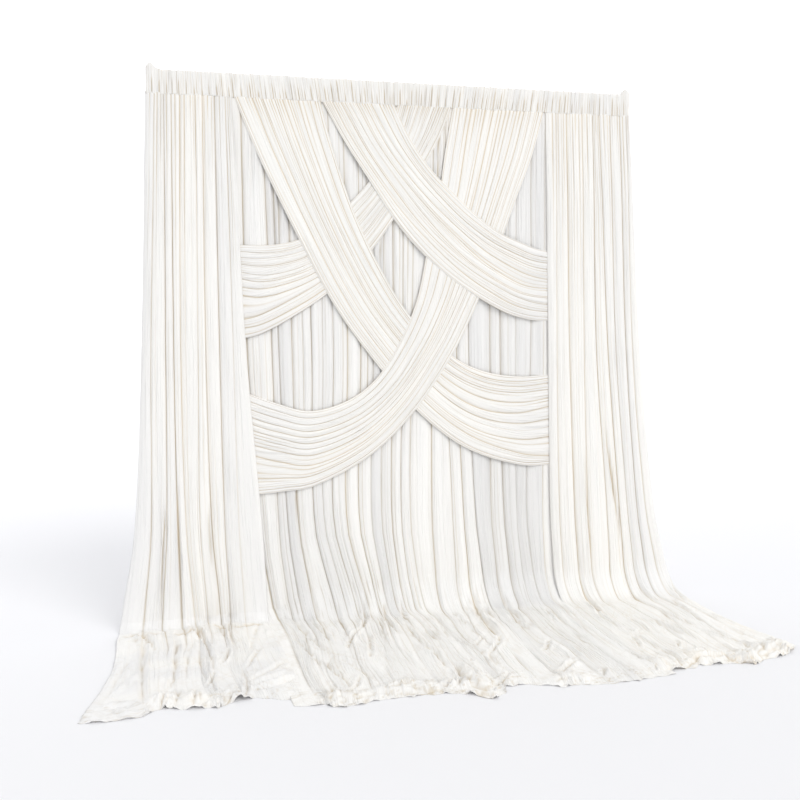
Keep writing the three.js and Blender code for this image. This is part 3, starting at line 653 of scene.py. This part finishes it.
    # Masks: painted shade that darkens the creases, the landing line, the wrinkles, the crumples
    # and the hem's curls, and painted shade that greys the deeper bands, the foot of the bend and
    # the train
    crease = depth * flank**2.6 * faded + 0.85 * narrow**1.5 * strength
    dashes = (k % 2 == 0) * np.abs(ripples(seed + 16, k * 2.3 + 0.2, s * 6))
    crease += 2.0 * narrow**1.5 * near_seam * dashes
    flatter = (1 - 0.3 * floor - 0.35 * beyond) * (1 - 0.7 * hem)
    crease *= flatter * smooth_step(from_edge, 0.002, 0.02)
    crease += 1.1 * tucked
    fold_shade = gap_shade * (1 - floor) + 0.6 * trough_shade * smooth_step(s, *WRINKLED)
    crease += fold_shade + 0.2 * crumpled * smooth_step(1 - close, 0.55, 0.95)
    crease += 0.35 * near_hem * smooth_step(1 - bunched, 0.6, 0.95)
    crease += 0.55 * smooth_step(s, 2.82, 2.92) * patchy * np.exp(-((curls / 0.1) ** 2))
    grey = folds.grey[band][None, :] * (1 - 0.85 * floor)
    grey *= 0.85 + 0.3 * ripples(seed + 24, c / 0.05, s * 2)
    grey *= 0.7 + 0.8 * smooth_step(s, 0.4, 1.1)
    # Painted shade over the bend at the foot, where the cloth faces up towards the light
    foot_shade = np.exp(-(((s - 1.4) / 0.4) ** 2))
    grey = grey + (0.3 + 0.5 * shape.grey) * foot_shade + shape.grey * beyond * patchy
    cut = np.stack((c, down), axis=-1)
    return cloth_sheet(name, points, cut, crease, train=floor, grey=grey)


# The groove and shade colours are painted shade in the creases, and the cooler colour is painted
# shade where the mask greys the cloth, as well as random cooler stretches
back_jersey = jersey(
    "back_jersey",
    Warm=(0.93, 0.92, 0.90),
    Cool=(0.815, 0.81, 0.805),
    Groove=(0.69, 0.60, 0.46),
    Shade=(0.67, 0.62, 0.55),
)

back_drape = long_cloth("back_drape_cloth", BACK_FOLDS, BACK_CREASES, BACK_WRINKLES, BACK_SHAPE)
back_drape.data.materials.append(back_jersey)
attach(back_drape, "root")
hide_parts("back_drape")


# Side panels: two narrower lengths of the same jersey that hang in front of the drape's
# edges and cover the ends of the swags. Their trains flare outwards to the corners.
LEFT_SHAPE = Shape(
    seam_y=-5, hang_y=-11, bend=(60, 70), crest=20, pitch=19, lift=5, beside=0, rims=(45, 14),
    landing=0.5, ribs=0.25, grey=0.85, rows=(30, 16, 200), parts=PLEAT_PARTS, seed=31,
)
RIGHT_SHAPE = Shape(
    seam_y=-5, hang_y=-11, bend=(210, 210), crest=22, pitch=19, lift=5, beside=0, rims=(55, 35),
    landing=0.1, ribs=0.65, grey=0.1, rows=(30, 18, 190), parts=PLEAT_PARTS, seed=51,
)
LEFT_FOLDS = (
    (-1410, -1460, -1523, -1612, -1650, -1785, 1250, 0.6, 0.1, 1.0),
    (-1362, -1408, -1432, -1485, -1512, -1510, 1235, 0.6, 0.25, 0.4),
    (-1314, -1331, -1348, -1382, -1372, -1400, 1150, 1.0, 0.3, 0.5),
    (-1275, -1288, -1286, -1272, -1282, -1295, 1185, 1.0, 0.3, 0.35),
    (-1230, -1253, -1240, -1202, -1205, -1218, 1215, 0.6, 0.4, 0),
    (-1150, -1156, -1166, -1132, -1142, -1150, 1232, 0.6, 0.4, 0),
    (-1112, -1117, -1100, -1058, -1062, -1065, 1150, 0.8, 0.4, 0.2),
    (-1048, -1043, -1030, -1006, -1005, -1000, 1185, 0.9, 0.15, 0.7),
    (-990, -968, -952, -925, -930, -900, 1192, 0.4, 0.1, 0.5),
    (-950, -895, -817, -790, -782, -778, 1185, 0.2, 0.1, 0),
)
RIGHT_FOLDS = (
    (870, 905, 930, 964, 942, 958, 1370, 0.1, 0.1, 0),
    (934, 958, 990, 1022, 990, 1004, 1350, 0.6, 0.2, 0),
    (1000, 1038, 1088, 1124, 1082, 1106, 1325, 0.8, 0.3, 0),
    (1100, 1132, 1176, 1212, 1176, 1196, 1310, 0.7, 0.15, 0),
    (1168, 1216, 1300, 1330, 1292, 1300, 1298, 0.7, 0.4, 0),
    (1208, 1290, 1388, 1432, 1396, 1390, 1300, 1.0, 0.3, 0.15),
    (1278, 1342, 1440, 1500, 1470, 1478, 1365, 0.7, 0.3, 0.35),
    (1342, 1412, 1504, 1580, 1560, 1590, 1312, 1.0, 0.2, 0.5),
    (1384, 1450, 1560, 1660, 1658, 1715, 1295, 0.5, 0.2, 0.2),
    (1408, 1508, 1626, 1742, 1762, 1846, 1185, 0.6, 0.2, 0),
)
LEFT_CREASES = (
    (-1345, -2350, -1372, -2650, -1385, -2990, 6, 18),
    (-1284, -2300, -1279, -2680, -1275, -2990, 6, 18),
    (-1120, -2400, -1105, -2700, -1075, -2990, 5, 10),
)
RIGHT_CREASES = (
    (1269, -1951, 1330, -2323, 1405, -2703, 6, 10),
    (1150, -2200, 1172, -2500, 1208, -2800, 6, 8),
)
LEFT_WRINKLES = (
    (-1575, -560, -1600, -680, -1690, -1080, 14, 4),
    (-1475, -200, -1497, -600, -1505, -1130, 12, 10),
    (-1530, -90, -1475, -180, -1430, -430, 13, 9),
    (-1545, -130, -1525, -250, -1500, -340, 10, 5),
    (-1300, -100, -1325, -450, -1345, -640, 10, 9),
    (-1335, -560, -1350, -760, -1375, -960, 10, 8),
    (-1230, -40, -1205, -150, -1190, -300, 13, 14),
    (-1180, -180, -1170, -400, -1155, -760, 9, 8),
    (-1245, -370, -1280, -640, -1300, -880, 8, 6),
    (-1210, -480, -1220, -680, -1205, -900, 8, 6),
    (-1160, -700, -1170, -860, -1215, -1000, 8, 6),
    (-1185, -780, -1180, -950, -1180, -1090, 8, 5),
    (-1075, -110, -1070, -200, -1065, -270, 8, 9),
    (-1060, -480, -1080, -600, -1120, -710, 8, 9),
    (-1015, -20, -1030, -220, -1030, -440, 8, 6),
    (-855, -80, -900, -300, -960, -540, 9, 4),
    (-905, -520, -940, -620, -1000, -790, 9, 7),
    (-800, -740, -890, -850, -1000, -960, 14, 5),
    (-1515, -740, -1570, -840, -1640, -980, 13, -6),
    (-780, -930, -880, -1010, -1010, -1060, 16, -10),
    (-830, -880, -920, -950, -1010, -990, 13, -6),
    (-1680, -1115, -1600, -1120, -1510, -1150, 14, -9),
    (-1585, -1150, -1630, -1195, -1670, -1250, 9, -6),
    (-1520, -1165, -1560, -1205, -1600, -1255, 9, -6),
    (-1020, -930, -1030, -1050, -1060, -1170, 9, 8),
    (-1430, -1190, -1420, -1130, -1400, -1050, 8, 10),
    (-1365, -1160, -1350, -1080, -1340, -970, 8, 10),
    (-1290, -1200, -1275, -1130, -1268, -1030, 8, 11),
    (-1235, -1210, -1250, -1150, -1258, -1070, 8, 8),
    (-1150, -1220, -1120, -1170, -1075, -1050, 9, 11),
    (-1105, -1190, -1085, -1150, -1065, -1090, 8, 8),
)
RIGHT_WRINKLES = (
    (1125, -40, 1110, -260, 1070, -420, 10, 9),
    (1070, -420, 1058, -560, 1070, -700, 10, 10),
    (1180, -550, 1205, -640, 1190, -770, 8, 7),
    (1090, -700, 1110, -780, 1155, -740, 8, 6),
    (1290, -560, 1320, -740, 1342, -890, 9, 7),
    (1350, -630, 1372, -820, 1370, -970, 9, 9),
    (1410, -110, 1450, -500, 1492, -770, 9, 6),
    (1078, -820, 1100, -940, 1132, -1050, 9, 7),
    (1062, -850, 1042, -930, 1030, -1010, 8, 7),
    (930, -1040, 940, -1140, 962, -1190, 9, 10),
    (1110, -1070, 1120, -1190, 1110, -1300, 8, 8),
    (1040, -1090, 1060, -1170, 1085, -1240, 8, 6),
    (1095, -1330, 1185, -1262, 1250, -1232, 9, 9),
    (1250, -1240, 1330, -1236, 1400, -1225, 9, 9),
    (1388, -1225, 1400, -1290, 1432, -1345, 9, 10),
    (1218, -1060, 1245, -1000, 1240, -950, 8, 7),
    (1470, -860, 1520, -950, 1552, -1040, 9, 10),
    (1560, -1050, 1575, -1110, 1558, -1160, 9, 11),
    (1440, -1240, 1460, -1150, 1470, -1060, 8, 7),
    (1490, -1350, 1482, -1260, 1500, -1170, 8, 8),
    (1560, -1320, 1615, -1230, 1662, -1070, 9, 8),
    (1688, -1260, 1720, -1150, 1732, -1050, 9, 10),
    (1762, -1290, 1772, -1100, 1735, -880, 9, 7),
    (1745, 40, 1730, -100, 1700, -300, 10, 10),
    (1640, -200, 1600, -450, 1560, -730, 9, 7),
    (1680, -570, 1720, -680, 1732, -770, 8, 6),
    (1640, -750, 1650, -890, 1695, -1010, 9, 5),
    (1500, -50, 1510, -160, 1532, -260, 9, 7),
)

# The groove and shade colours are painted shade in the creases, and the cooler colour is painted
# shade where the mask greys the cloth, as well as random cooler stretches
ivory_jersey = jersey(
    "ivory_jersey",
    Warm=(0.93, 0.916, 0.885),
    Cool=(0.845, 0.84, 0.835),
    Groove=(0.74, 0.62, 0.45),
    Shade=(0.72, 0.65, 0.54),
)

side_panels = (
    ("side_panel_left", LEFT_FOLDS, LEFT_CREASES, LEFT_WRINKLES, LEFT_SHAPE),
    ("side_panel_right", RIGHT_FOLDS, RIGHT_CREASES, RIGHT_WRINKLES, RIGHT_SHAPE),
)
for node, folds, creases, wrinkles, shape in side_panels:
    panel = long_cloth(f"{node}_cloth", folds, creases, wrinkles, shape)
    panel.data.materials.append(ivory_jersey)
    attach(panel, "root")
    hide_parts(node)


# Swags: four pleated bands of the same jersey, gathered at the seam and sewn down behind a
# side panel. They cross over each other, and their pleats open out towards the side.
SWAG_STEPS = 185
SWAG_PLEAT = 15 * MM
SWAG_SPREAD = 0.45
SWAG_CREST_STEPS = (0, 0.05, 0.125, 0.5, 0.8, 0.93, 1)
SWAG_CREST = (4.5, 5, 5, 5.5, 8, 8, 4)
EDGE_TURN = 9 * MM
EDGE_RADIUS = 3 * MM
PLEAT_STEPS = (0, 0.25, 0.5, 0.75, 1)

# The two edges of a band in the plane of the drape and the Y of its back, in millimetres, at
# equal steps from the seam to the side. Then a crease between two pleats: its place across the
# band at five steps, as a share of the width, and its depth.
Band = namedtuple("Band", "low_x low_z high_x high_z back")
Pleat = namedtuple("Pleat", "head quarter half late end depth")
LOW_EDGE = (0, 0, 0, 0, 0, 0.35)
HIGH_EDGE = (1, 1, 1, 1, 1, 0.35)

UPPER_LEFT_BANDS = (
    (290, -131, -30, -131, -6),
    (215, -315, -80, -310, -2),
    (60, -590, -170, -525, -2),
    (-80, -815, -290, -665, -2),
    (-250, -1030, -440, -795, -2),
    (-435, -1190, -590, -885, -2),
    (-625, -1315, -700, -915, -2),
    (-805, -1410, -820, -925, -3),
    (-938, -1442, -945, -920, -3),
)
UPPER_LEFT_PLEATS = (
    (0.05, 0.07, 0.08, 0.10, 0.12, 0.8),
    (0.13, 0.20, 0.22, 0.23, 0.20, 1.0),
    (0.22, 0.28, 0.28, 0.37, 0.48, 0.9),
    (0.31, 0.36, 0.36, 0.45, 0.56, 1.0),
    (0.41, 0.43, 0.45, 0.54, 0.65, 0.9),
    (0.50, 0.52, 0.54, 0.62, 0.72, 1.0),
    (0.60, 0.65, 0.66, 0.73, 0.80, 1.0),
    (0.75, 0.76, 0.78, 0.83, 0.87, 0.7),
    (0.87, 0.88, 0.88, 0.90, 0.93, 0.9),
)
LOWER_RIGHT_BANDS = (
    (-940, -131, -465, -131, -7),
    (-800, -465, -400, -370, -7),
    (-615, -845, -275, -735, -11),
    (-425, -1205, -95, -1095, -11),
    (-220, -1500, 95, -1365, -7),
    (85, -1860, 310, -1550, -5),
    (390, -2095, 500, -1640, -5),
    (725, -2210, 715, -1675, -4),
    (965, -2216, 955, -1667, -3),
)
LOWER_RIGHT_PLEATS = (
    (0.03, 0.06, 0.06, 0.05, 0.04, 0.6),
    (0.20, 0.22, 0.20, 0.17, 0.09, 1.0),
    (0.30, 0.33, 0.31, 0.28, 0.32, 0.8),
    (0.46, 0.47, 0.46, 0.43, 0.52, 1.0),
    (0.55, 0.56, 0.56, 0.54, 0.66, 1.0),
    (0.64, 0.65, 0.66, 0.68, 0.75, 0.8),
    (0.73, 0.73, 0.76, 0.79, 0.84, 0.9),
    (0.87, 0.85, 0.86, 0.87, 0.91, 1.0),
    (0.96, 0.95, 0.94, 0.93, 0.965, 0.7),
)
LOWER_LEFT_BANDS = (
    (860, -131, 300, -131, -6),
    (785, -400, 258, -370, -4),
    (690, -645, 215, -650, -5),
    (580, -945, 155, -920, -6),
    (465, -1220, 90, -1220, -9),
    (310, -1530, -20, -1475, -14),
    (80, -1860, -160, -1680, -14),
    (-180, -2110, -330, -1800, -9),
    (-500, -2275, -540, -1850, -5),
    (-700, -2305, -740, -1798, -4),
    (-882, -2318, -925, -1728, -3),
)
LOWER_LEFT_PLEATS = (
    (0.06, 0.05, 0.06, 0.05, 0.04, 0.6),
    (0.15, 0.15, 0.19, 0.15, 0.16, 0.9),
    (0.22, 0.23, 0.29, 0.27, 0.40, 0.9),
    (0.30, 0.31, 0.36, 0.40, 0.50, 1.0),
    (0.38, 0.39, 0.43, 0.48, 0.58, 0.9),
    (0.47, 0.46, 0.50, 0.55, 0.65, 1.0),
    (0.56, 0.55, 0.57, 0.63, 0.71, 1.0),
    (0.65, 0.63, 0.65, 0.71, 0.78, 0.9),
    (0.80, 0.77, 0.78, 0.81, 0.85, 0.9),
    (0.92, 0.90, 0.89, 0.90, 0.93, 0.8),
)
UPPER_RIGHT_BANDS = (
    (-455, -131, -40, -131, -7),
    (-330, -350, 60, -325, -8),
    (-200, -545, 175, -480, -11),
    (-30, -785, 300, -600, -12),
    (155, -985, 435, -722, -15),
    (350, -1140, 585, -825, -15),
    (595, -1280, 745, -893, -15),
    (765, -1335, 830, -922, -8),
    (935, -1350, 930, -940, -3),
)
UPPER_RIGHT_PLEATS = (
    (0.04, 0.07, 0.06, 0.06, 0.05, 0.7),
    (0.13, 0.14, 0.19, 0.15, 0.13, 0.9),
    (0.25, 0.27, 0.28, 0.27, 0.24, 0.9),
    (0.36, 0.40, 0.40, 0.33, 0.33, 0.8),
    (0.46, 0.49, 0.54, 0.46, 0.47, 1.0),
    (0.57, 0.60, 0.65, 0.61, 0.60, 1.0),
    (0.66, 0.71, 0.74, 0.74, 0.745, 0.9),
    (0.78, 0.79, 0.81, 0.82, 0.84, 1.0),
    (0.90, 0.88, 0.90, 0.90, 0.91, 0.9),
)


def swag_cloth(name, bands, pleats, seed):
    """A pleated band between its two edges, with a crease at each row of pleats."""
    step = np.linspace(0, 1, SWAG_STEPS) ** 1.1
    edges = curve_at(np.linspace(0, 1, len(bands)), np.array(bands) * MM, step)
    edges = Band(*edges.T[..., None])
    pleats = Pleat(*np.array([LOW_EDGE, *pleats, HIGH_EDGE]).T)
    places = curve_at(PLEAT_STEPS, np.array(pleats[:5]), step)
    widths = np.diff(pleats.half) * SWAG_SPREAD
    place, part, number = narrow_pleats(widths, SWAG_PLEAT, seed, PLEAT_PARTS)
    band = np.minimum(place.astype(int), len(widths) - 1)
    share = place - band

    # Each point's share of the way across the band and down it, and its nearest crease
    v = across_bands(places, place)
    u = step[:, None] + 0 * v
    k = number[None, :] + 0 * v
    free = smooth_step(u, 0, 0.1) * (1 - smooth_step(u, 0.93, 1))
    v = v + ripples(seed + 4, k * 0.4, u * 5) * 0.008 * free
    x = edges.low_x * (1 - v) + edges.high_x * v
    z = edges.low_z * (1 - v) + edges.high_z * v

    # Main folds between the placed creases, and narrow pleats, closest where the band is sewn
    flank = groove_flank(share, band, 0.5, seed + 20)
    depth = across_bands(pleats.depth, place)[None, :]
    crest = curve_at(SWAG_CREST_STEPS, np.array(SWAG_CREST) * MM, step)[:, None]
    height = crest * (1 - depth * flank * (0.8 + 0.2 * ripples(seed, k, u * 4)))
    height *= 0.9 + 0.2 * ripples(seed + 1, v * 8, u * 5)

    sewn = np.exp(-u / 0.035) + np.exp((u - 1) / 0.03)
    strength = np.clip(0.35 + 1.1 * ripples(seed + 2, k, u * 4) + 0.5 * sewn, 0, 1)
    beside_edge = (k == 1) | (k == number.max() - 1)
    strength = np.where(beside_edge, 0.9, strength)
    narrow = (1 - np.sin(pi * part))[None, :] ** 2
    height -= narrow * strength * (0.2 * crest + 0.3 * MM)
    height += ripples(seed + 3, v * 45, u * 5) * 0.35 * MM
    height = np.maximum(height, 0.3 * MM)
    across = np.hypot(edges.low_x - edges.high_x, edges.low_z - edges.high_z)
    rim = np.minimum(v, 1 - v) * across
    height -= EDGE_TURN * np.exp(-rim / EDGE_RADIUS)
    z[0] += HEAD_TUCK
    y = edges.back - height - CLOTH
    y[0] += HEAD_SINK
    points = np.stack((x, y, z), axis=-1)
    # Painted shade darkens the creases and the dashes where the band is sewn, and greys it
    # towards the sewn end
    crease = depth * flank**2.4 + 0.75 * narrow**1.5 * strength
    crease += 2 * narrow * sewn * np.abs(ripples(seed + 5, k * 2.3 + 0.2, u * 6))
    grey = 0.5 * smooth_step(u, 0.7, 0.95)
    run = np.cumsum(np.hypot(np.diff(edges.low_x, axis=0), np.diff(edges.low_z, axis=0)))
    cut = np.stack((v * SWAG_SPREAD, np.append(0, run)[:, None] + 0 * v), axis=-1)
    return cloth_sheet(name, points, cut, crease, grey=grey)


# Each swag's flat size in metres, its tables and the seed of its noise
swags = (
    ("swag_upper_left", (0.40, 1.9), UPPER_LEFT_BANDS, UPPER_LEFT_PLEATS, 71),
    ("swag_lower_right", (0.52, 2.9), LOWER_RIGHT_BANDS, LOWER_RIGHT_PLEATS, 81),
    ("swag_lower_left", (0.54, 3.0), LOWER_LEFT_BANDS, LOWER_LEFT_PLEATS, 91),
    ("swag_upper_right", (0.44, 2.0), UPPER_RIGHT_BANDS, UPPER_RIGHT_PLEATS, 101),
)
for node, flat, bands, pleats, seed in swags:
    swag = swag_cloth(f"{node}_cloth", bands, pleats, seed)
    swag.data.materials.append(ivory_jersey)
    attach(swag, "root")
    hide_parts(node)


# Heading: a sleeve of the same jersey, gathered along the rod in close leaning puckers. Its
# two ends are open for the rod, and the seam at its foot holds the heads of every cloth.
HEADING_DROP = 0.130
HEADING_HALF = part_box("heading")[1][0]
HEADING_PLEAT = 12.5 * MM
HEADING_PARTS = (0, 0.3, 0.7)
HEADING_RING = 38
HEADING_LEAN = 26 * MM
HEADING_GATHER = 1.4
HEADING_ROUND = 0.3
PUCKER_MM = 7
PEAK_RISE = 30 * MM
PEAK_FROM_END = 24 * MM
PEAK_WIDTH = 26 * MM

# The sleeve's section, Y and Z in millimetres: from the top down the front and up the back
HEADING_OUTLINE = (
    (0, 0), (-8, -4), (-11, -18), (-11, -50), (-11, -85), (-11, -106), (-11, -119), (-10.5, -127),
    (-8, -131), (4, -130), (10, -126), (9, -118), (12, -106), (17, -85), (21, -50), (21, -18),
    (14, -4), (0, 0),
)


def heading_sleeve():
    """Points round the sleeve by stations along X, with their cut, the painted shade of their
    creases and the painted shade that greys them. The last row of points lies on the first
    one, where the cloth is joined."""
    spread = np.random.default_rng(900)
    gathers = round(2 * HEADING_HALF / HEADING_PLEAT)
    ends = np.append(0, np.cumsum(spread.uniform(0.5, 1.5, gathers)))
    ends = ends / ends[-1] * 2 - 1
    across = [a + (b - a) * part for a, b in zip(ends, ends[1:]) for part in HEADING_PARTS]
    across = np.append(across, 1)[:, None]
    part = np.append(np.tile(HEADING_PARTS, gathers), 0)[:, None]
    number = np.append(np.repeat(np.arange(gathers), len(HEADING_PARTS)), gathers)[:, None]
    number = number + (part > 0.5)
    turn = np.linspace(0, 1, HEADING_RING + 1)
    corners = np.array(HEADING_OUTLINE) * MM
    outline = curve_at(np.linspace(0, 1, len(corners)), corners, turn)
    depth = -outline[:, 1][None, :] / HEADING_DROP
    side = np.sign(outline[:, 0])[None, :]
    x = across * HEADING_HALF + 0 * depth

    # Puckers of uneven depth, with deep ones lower down, that lean in towards the middle
    strength = np.clip(0.40 + 0.6 * ripples(901, number, side * 3 + 7 + depth * 1.2), 0.05, 1)
    start = 0.30 + 0.35 * ripples(905, number * 1.3, 0 * side)
    deep = (number % 3 == 0) * smooth_step(depth, start, start + 0.45)
    deep *= 0.75 + 0.35 * ripples(906, number, 0 * side)
    strength = strength * (0.35 + 0.3 * smooth_step(depth, 0.05, 0.6)) + 0.9 * deep
    narrow = 1 - np.sin(pi * part) ** 0.6
    pucker = (0.5 - narrow) * strength * PUCKER_MM * MM
    pucker += ripples(902, x / 0.05, depth * 1.5) * 1.5 * MM
    lean = HEADING_LEAN * (1 - across**2) * -np.sin(pi * across)
    fade = smooth_step(np.abs(outline[:, 0])[None, :] / MM, 2, 9)
    y = outline[:, 0][None, :] + side * pucker * fade

    # Small peaks near both ends, a ruffled top edge and an uneven foot
    from_peak = (HEADING_HALF - np.abs(x) - PEAK_FROM_END) / PEAK_WIDTH
    peak = PEAK_RISE * np.exp(-(from_peak**2)) * (1 - smooth_step(depth, 0.04, 0.2))
    ruffle = (ripples(903, number, 0 * number) * 2.5 - narrow * 2) * MM
    ruffle = ruffle * (1 - smooth_step(depth, 0, 0.12))
    foot = ripples(904, number * 0.6, 0 * number) * 3.5 * MM * smooth_step(depth, 0.7, 0.9)
    z = outline[:, 1][None, :] + peak + ruffle + foot
    # Painted shade darkens the creases of the puckers and greys the sleeve in streaks
    crease = narrow**1.5 * (1.15 * strength + 0.9 * deep)
    grey = np.clip(0.08 + 0.35 * ripples(907, x / 0.05, depth * 0.7), 0, 1)
    points = np.stack((x + lean * depth, y, z), axis=-1)
    cut = np.stack((x * HEADING_GATHER, turn[None, :] * HEADING_ROUND + 0 * x), axis=-1)
    return points.transpose(1, 0, 2), cut.transpose(1, 0, 2), crease.T, grey.T


sleeve, sleeve_cut, sleeve_crease_shade, sleeve_shade = heading_sleeve()
heading = cloth_sheet(
    "heading_cloth", sleeve, sleeve_cut, sleeve_crease_shade, grey=sleeve_shade, joined=True
)
heading.data.materials.append(ivory_jersey)
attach(heading, "root")
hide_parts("heading")


# The studio: a white floor that sweeps up into a white wall behind, soft light from all
# round, and one soft, even light from high up at the front right.
SWEEP_FRONT = -9.0
SWEEP_BACK = 4.0
SWEEP_RADIUS = 2.0
SWEEP_TOP = 6.0
SWEEP_HALF = 14.0
SWEEP_STEPS = 16
GLOW_FROM = -0.1
GLOW_TO = 1.0
GLOW_FLOOR = 0.04
GLOW_WALL = 0.5
WORLD_STRENGTH = 0.855
KEY_STRENGTH = 1.08
KEY_TILT = 51
KEY_TURN = 26
KEY_ANGLE = 35


def sweep_points():
    flat = [(SWEEP_FRONT, FLOOR_Z), (SWEEP_BACK, FLOOR_Z)]
    curve = [
        (SWEEP_BACK + SWEEP_RADIUS * np.sin(t), FLOOR_Z + SWEEP_RADIUS * (1 - np.cos(t)))
        for t in np.linspace(0, pi / 2, SWEEP_STEPS + 1)[1:]
    ]
    return np.array(flat + curve + [(SWEEP_BACK + SWEEP_RADIUS, FLOOR_Z + SWEEP_TOP)])


profile = sweep_points()
bpy.ops.object.select_all(action="DESELECT")
bpy.ops.mesh.primitive_grid_add(x_subdivisions=1, y_subdivisions=len(profile) - 1, size=1)
floor = bpy.context.object
floor.name = "floor"
places = [(x, y, z) for y, z in profile for x in (-SWEEP_HALF, SWEEP_HALF)]
floor.data.vertices.foreach_set("co", np.array(places).reshape(-1))
floor.data.update()
bpy.ops.object.shade_smooth()
paint = bpy.data.materials.new("white_floor")
paint.use_nodes = True
nodes, link = paint.node_tree.nodes, paint.node_tree.links.new
surface = nodes["Principled BSDF"]
surface.inputs["Base Color"].default_value = (0.80, 0.80, 0.82, 1)
surface.inputs["Roughness"].default_value = 0.9
surface.inputs["Emission Color"].default_value = (1, 1, 1, 1)
place = nodes.new("ShaderNodeTexCoord")
axes = nodes.new("ShaderNodeSeparateXYZ")
glow = nodes.new("ShaderNodeMapRange")
glow.interpolation_type = "SMOOTHSTEP"
glow.inputs["From Min"].default_value = FLOOR_Z + GLOW_FROM
glow.inputs["From Max"].default_value = FLOOR_Z + GLOW_TO
glow.inputs["To Min"].default_value = GLOW_FLOOR
glow.inputs["To Max"].default_value = GLOW_WALL
link(place.outputs["Object"], axes.inputs["Vector"])
link(axes.outputs["Z"], glow.inputs["Value"])
link(glow.outputs["Result"], surface.inputs["Emission Strength"])
floor.data.materials.append(paint)

world = bpy.data.worlds.new("soft_white")
world.use_nodes = True
background = world.node_tree.nodes["Background"]
background.inputs["Color"].default_value = (0.98, 0.99, 1.0, 1)
background.inputs["Strength"].default_value = WORLD_STRENGTH
bpy.context.scene.world = world

bpy.ops.object.light_add(type="SUN", location=(4, -6, 4))
key = bpy.context.object
key.name = "key_light"
key.data.energy = KEY_STRENGTH
key.data.angle = radians(KEY_ANGLE)
key.data.color = (1.0, 0.985, 0.965)
key.rotation_euler = (radians(KEY_TILT), 0, radians(KEY_TURN))

bpy.context.scene.view_settings.view_transform = "Standard"
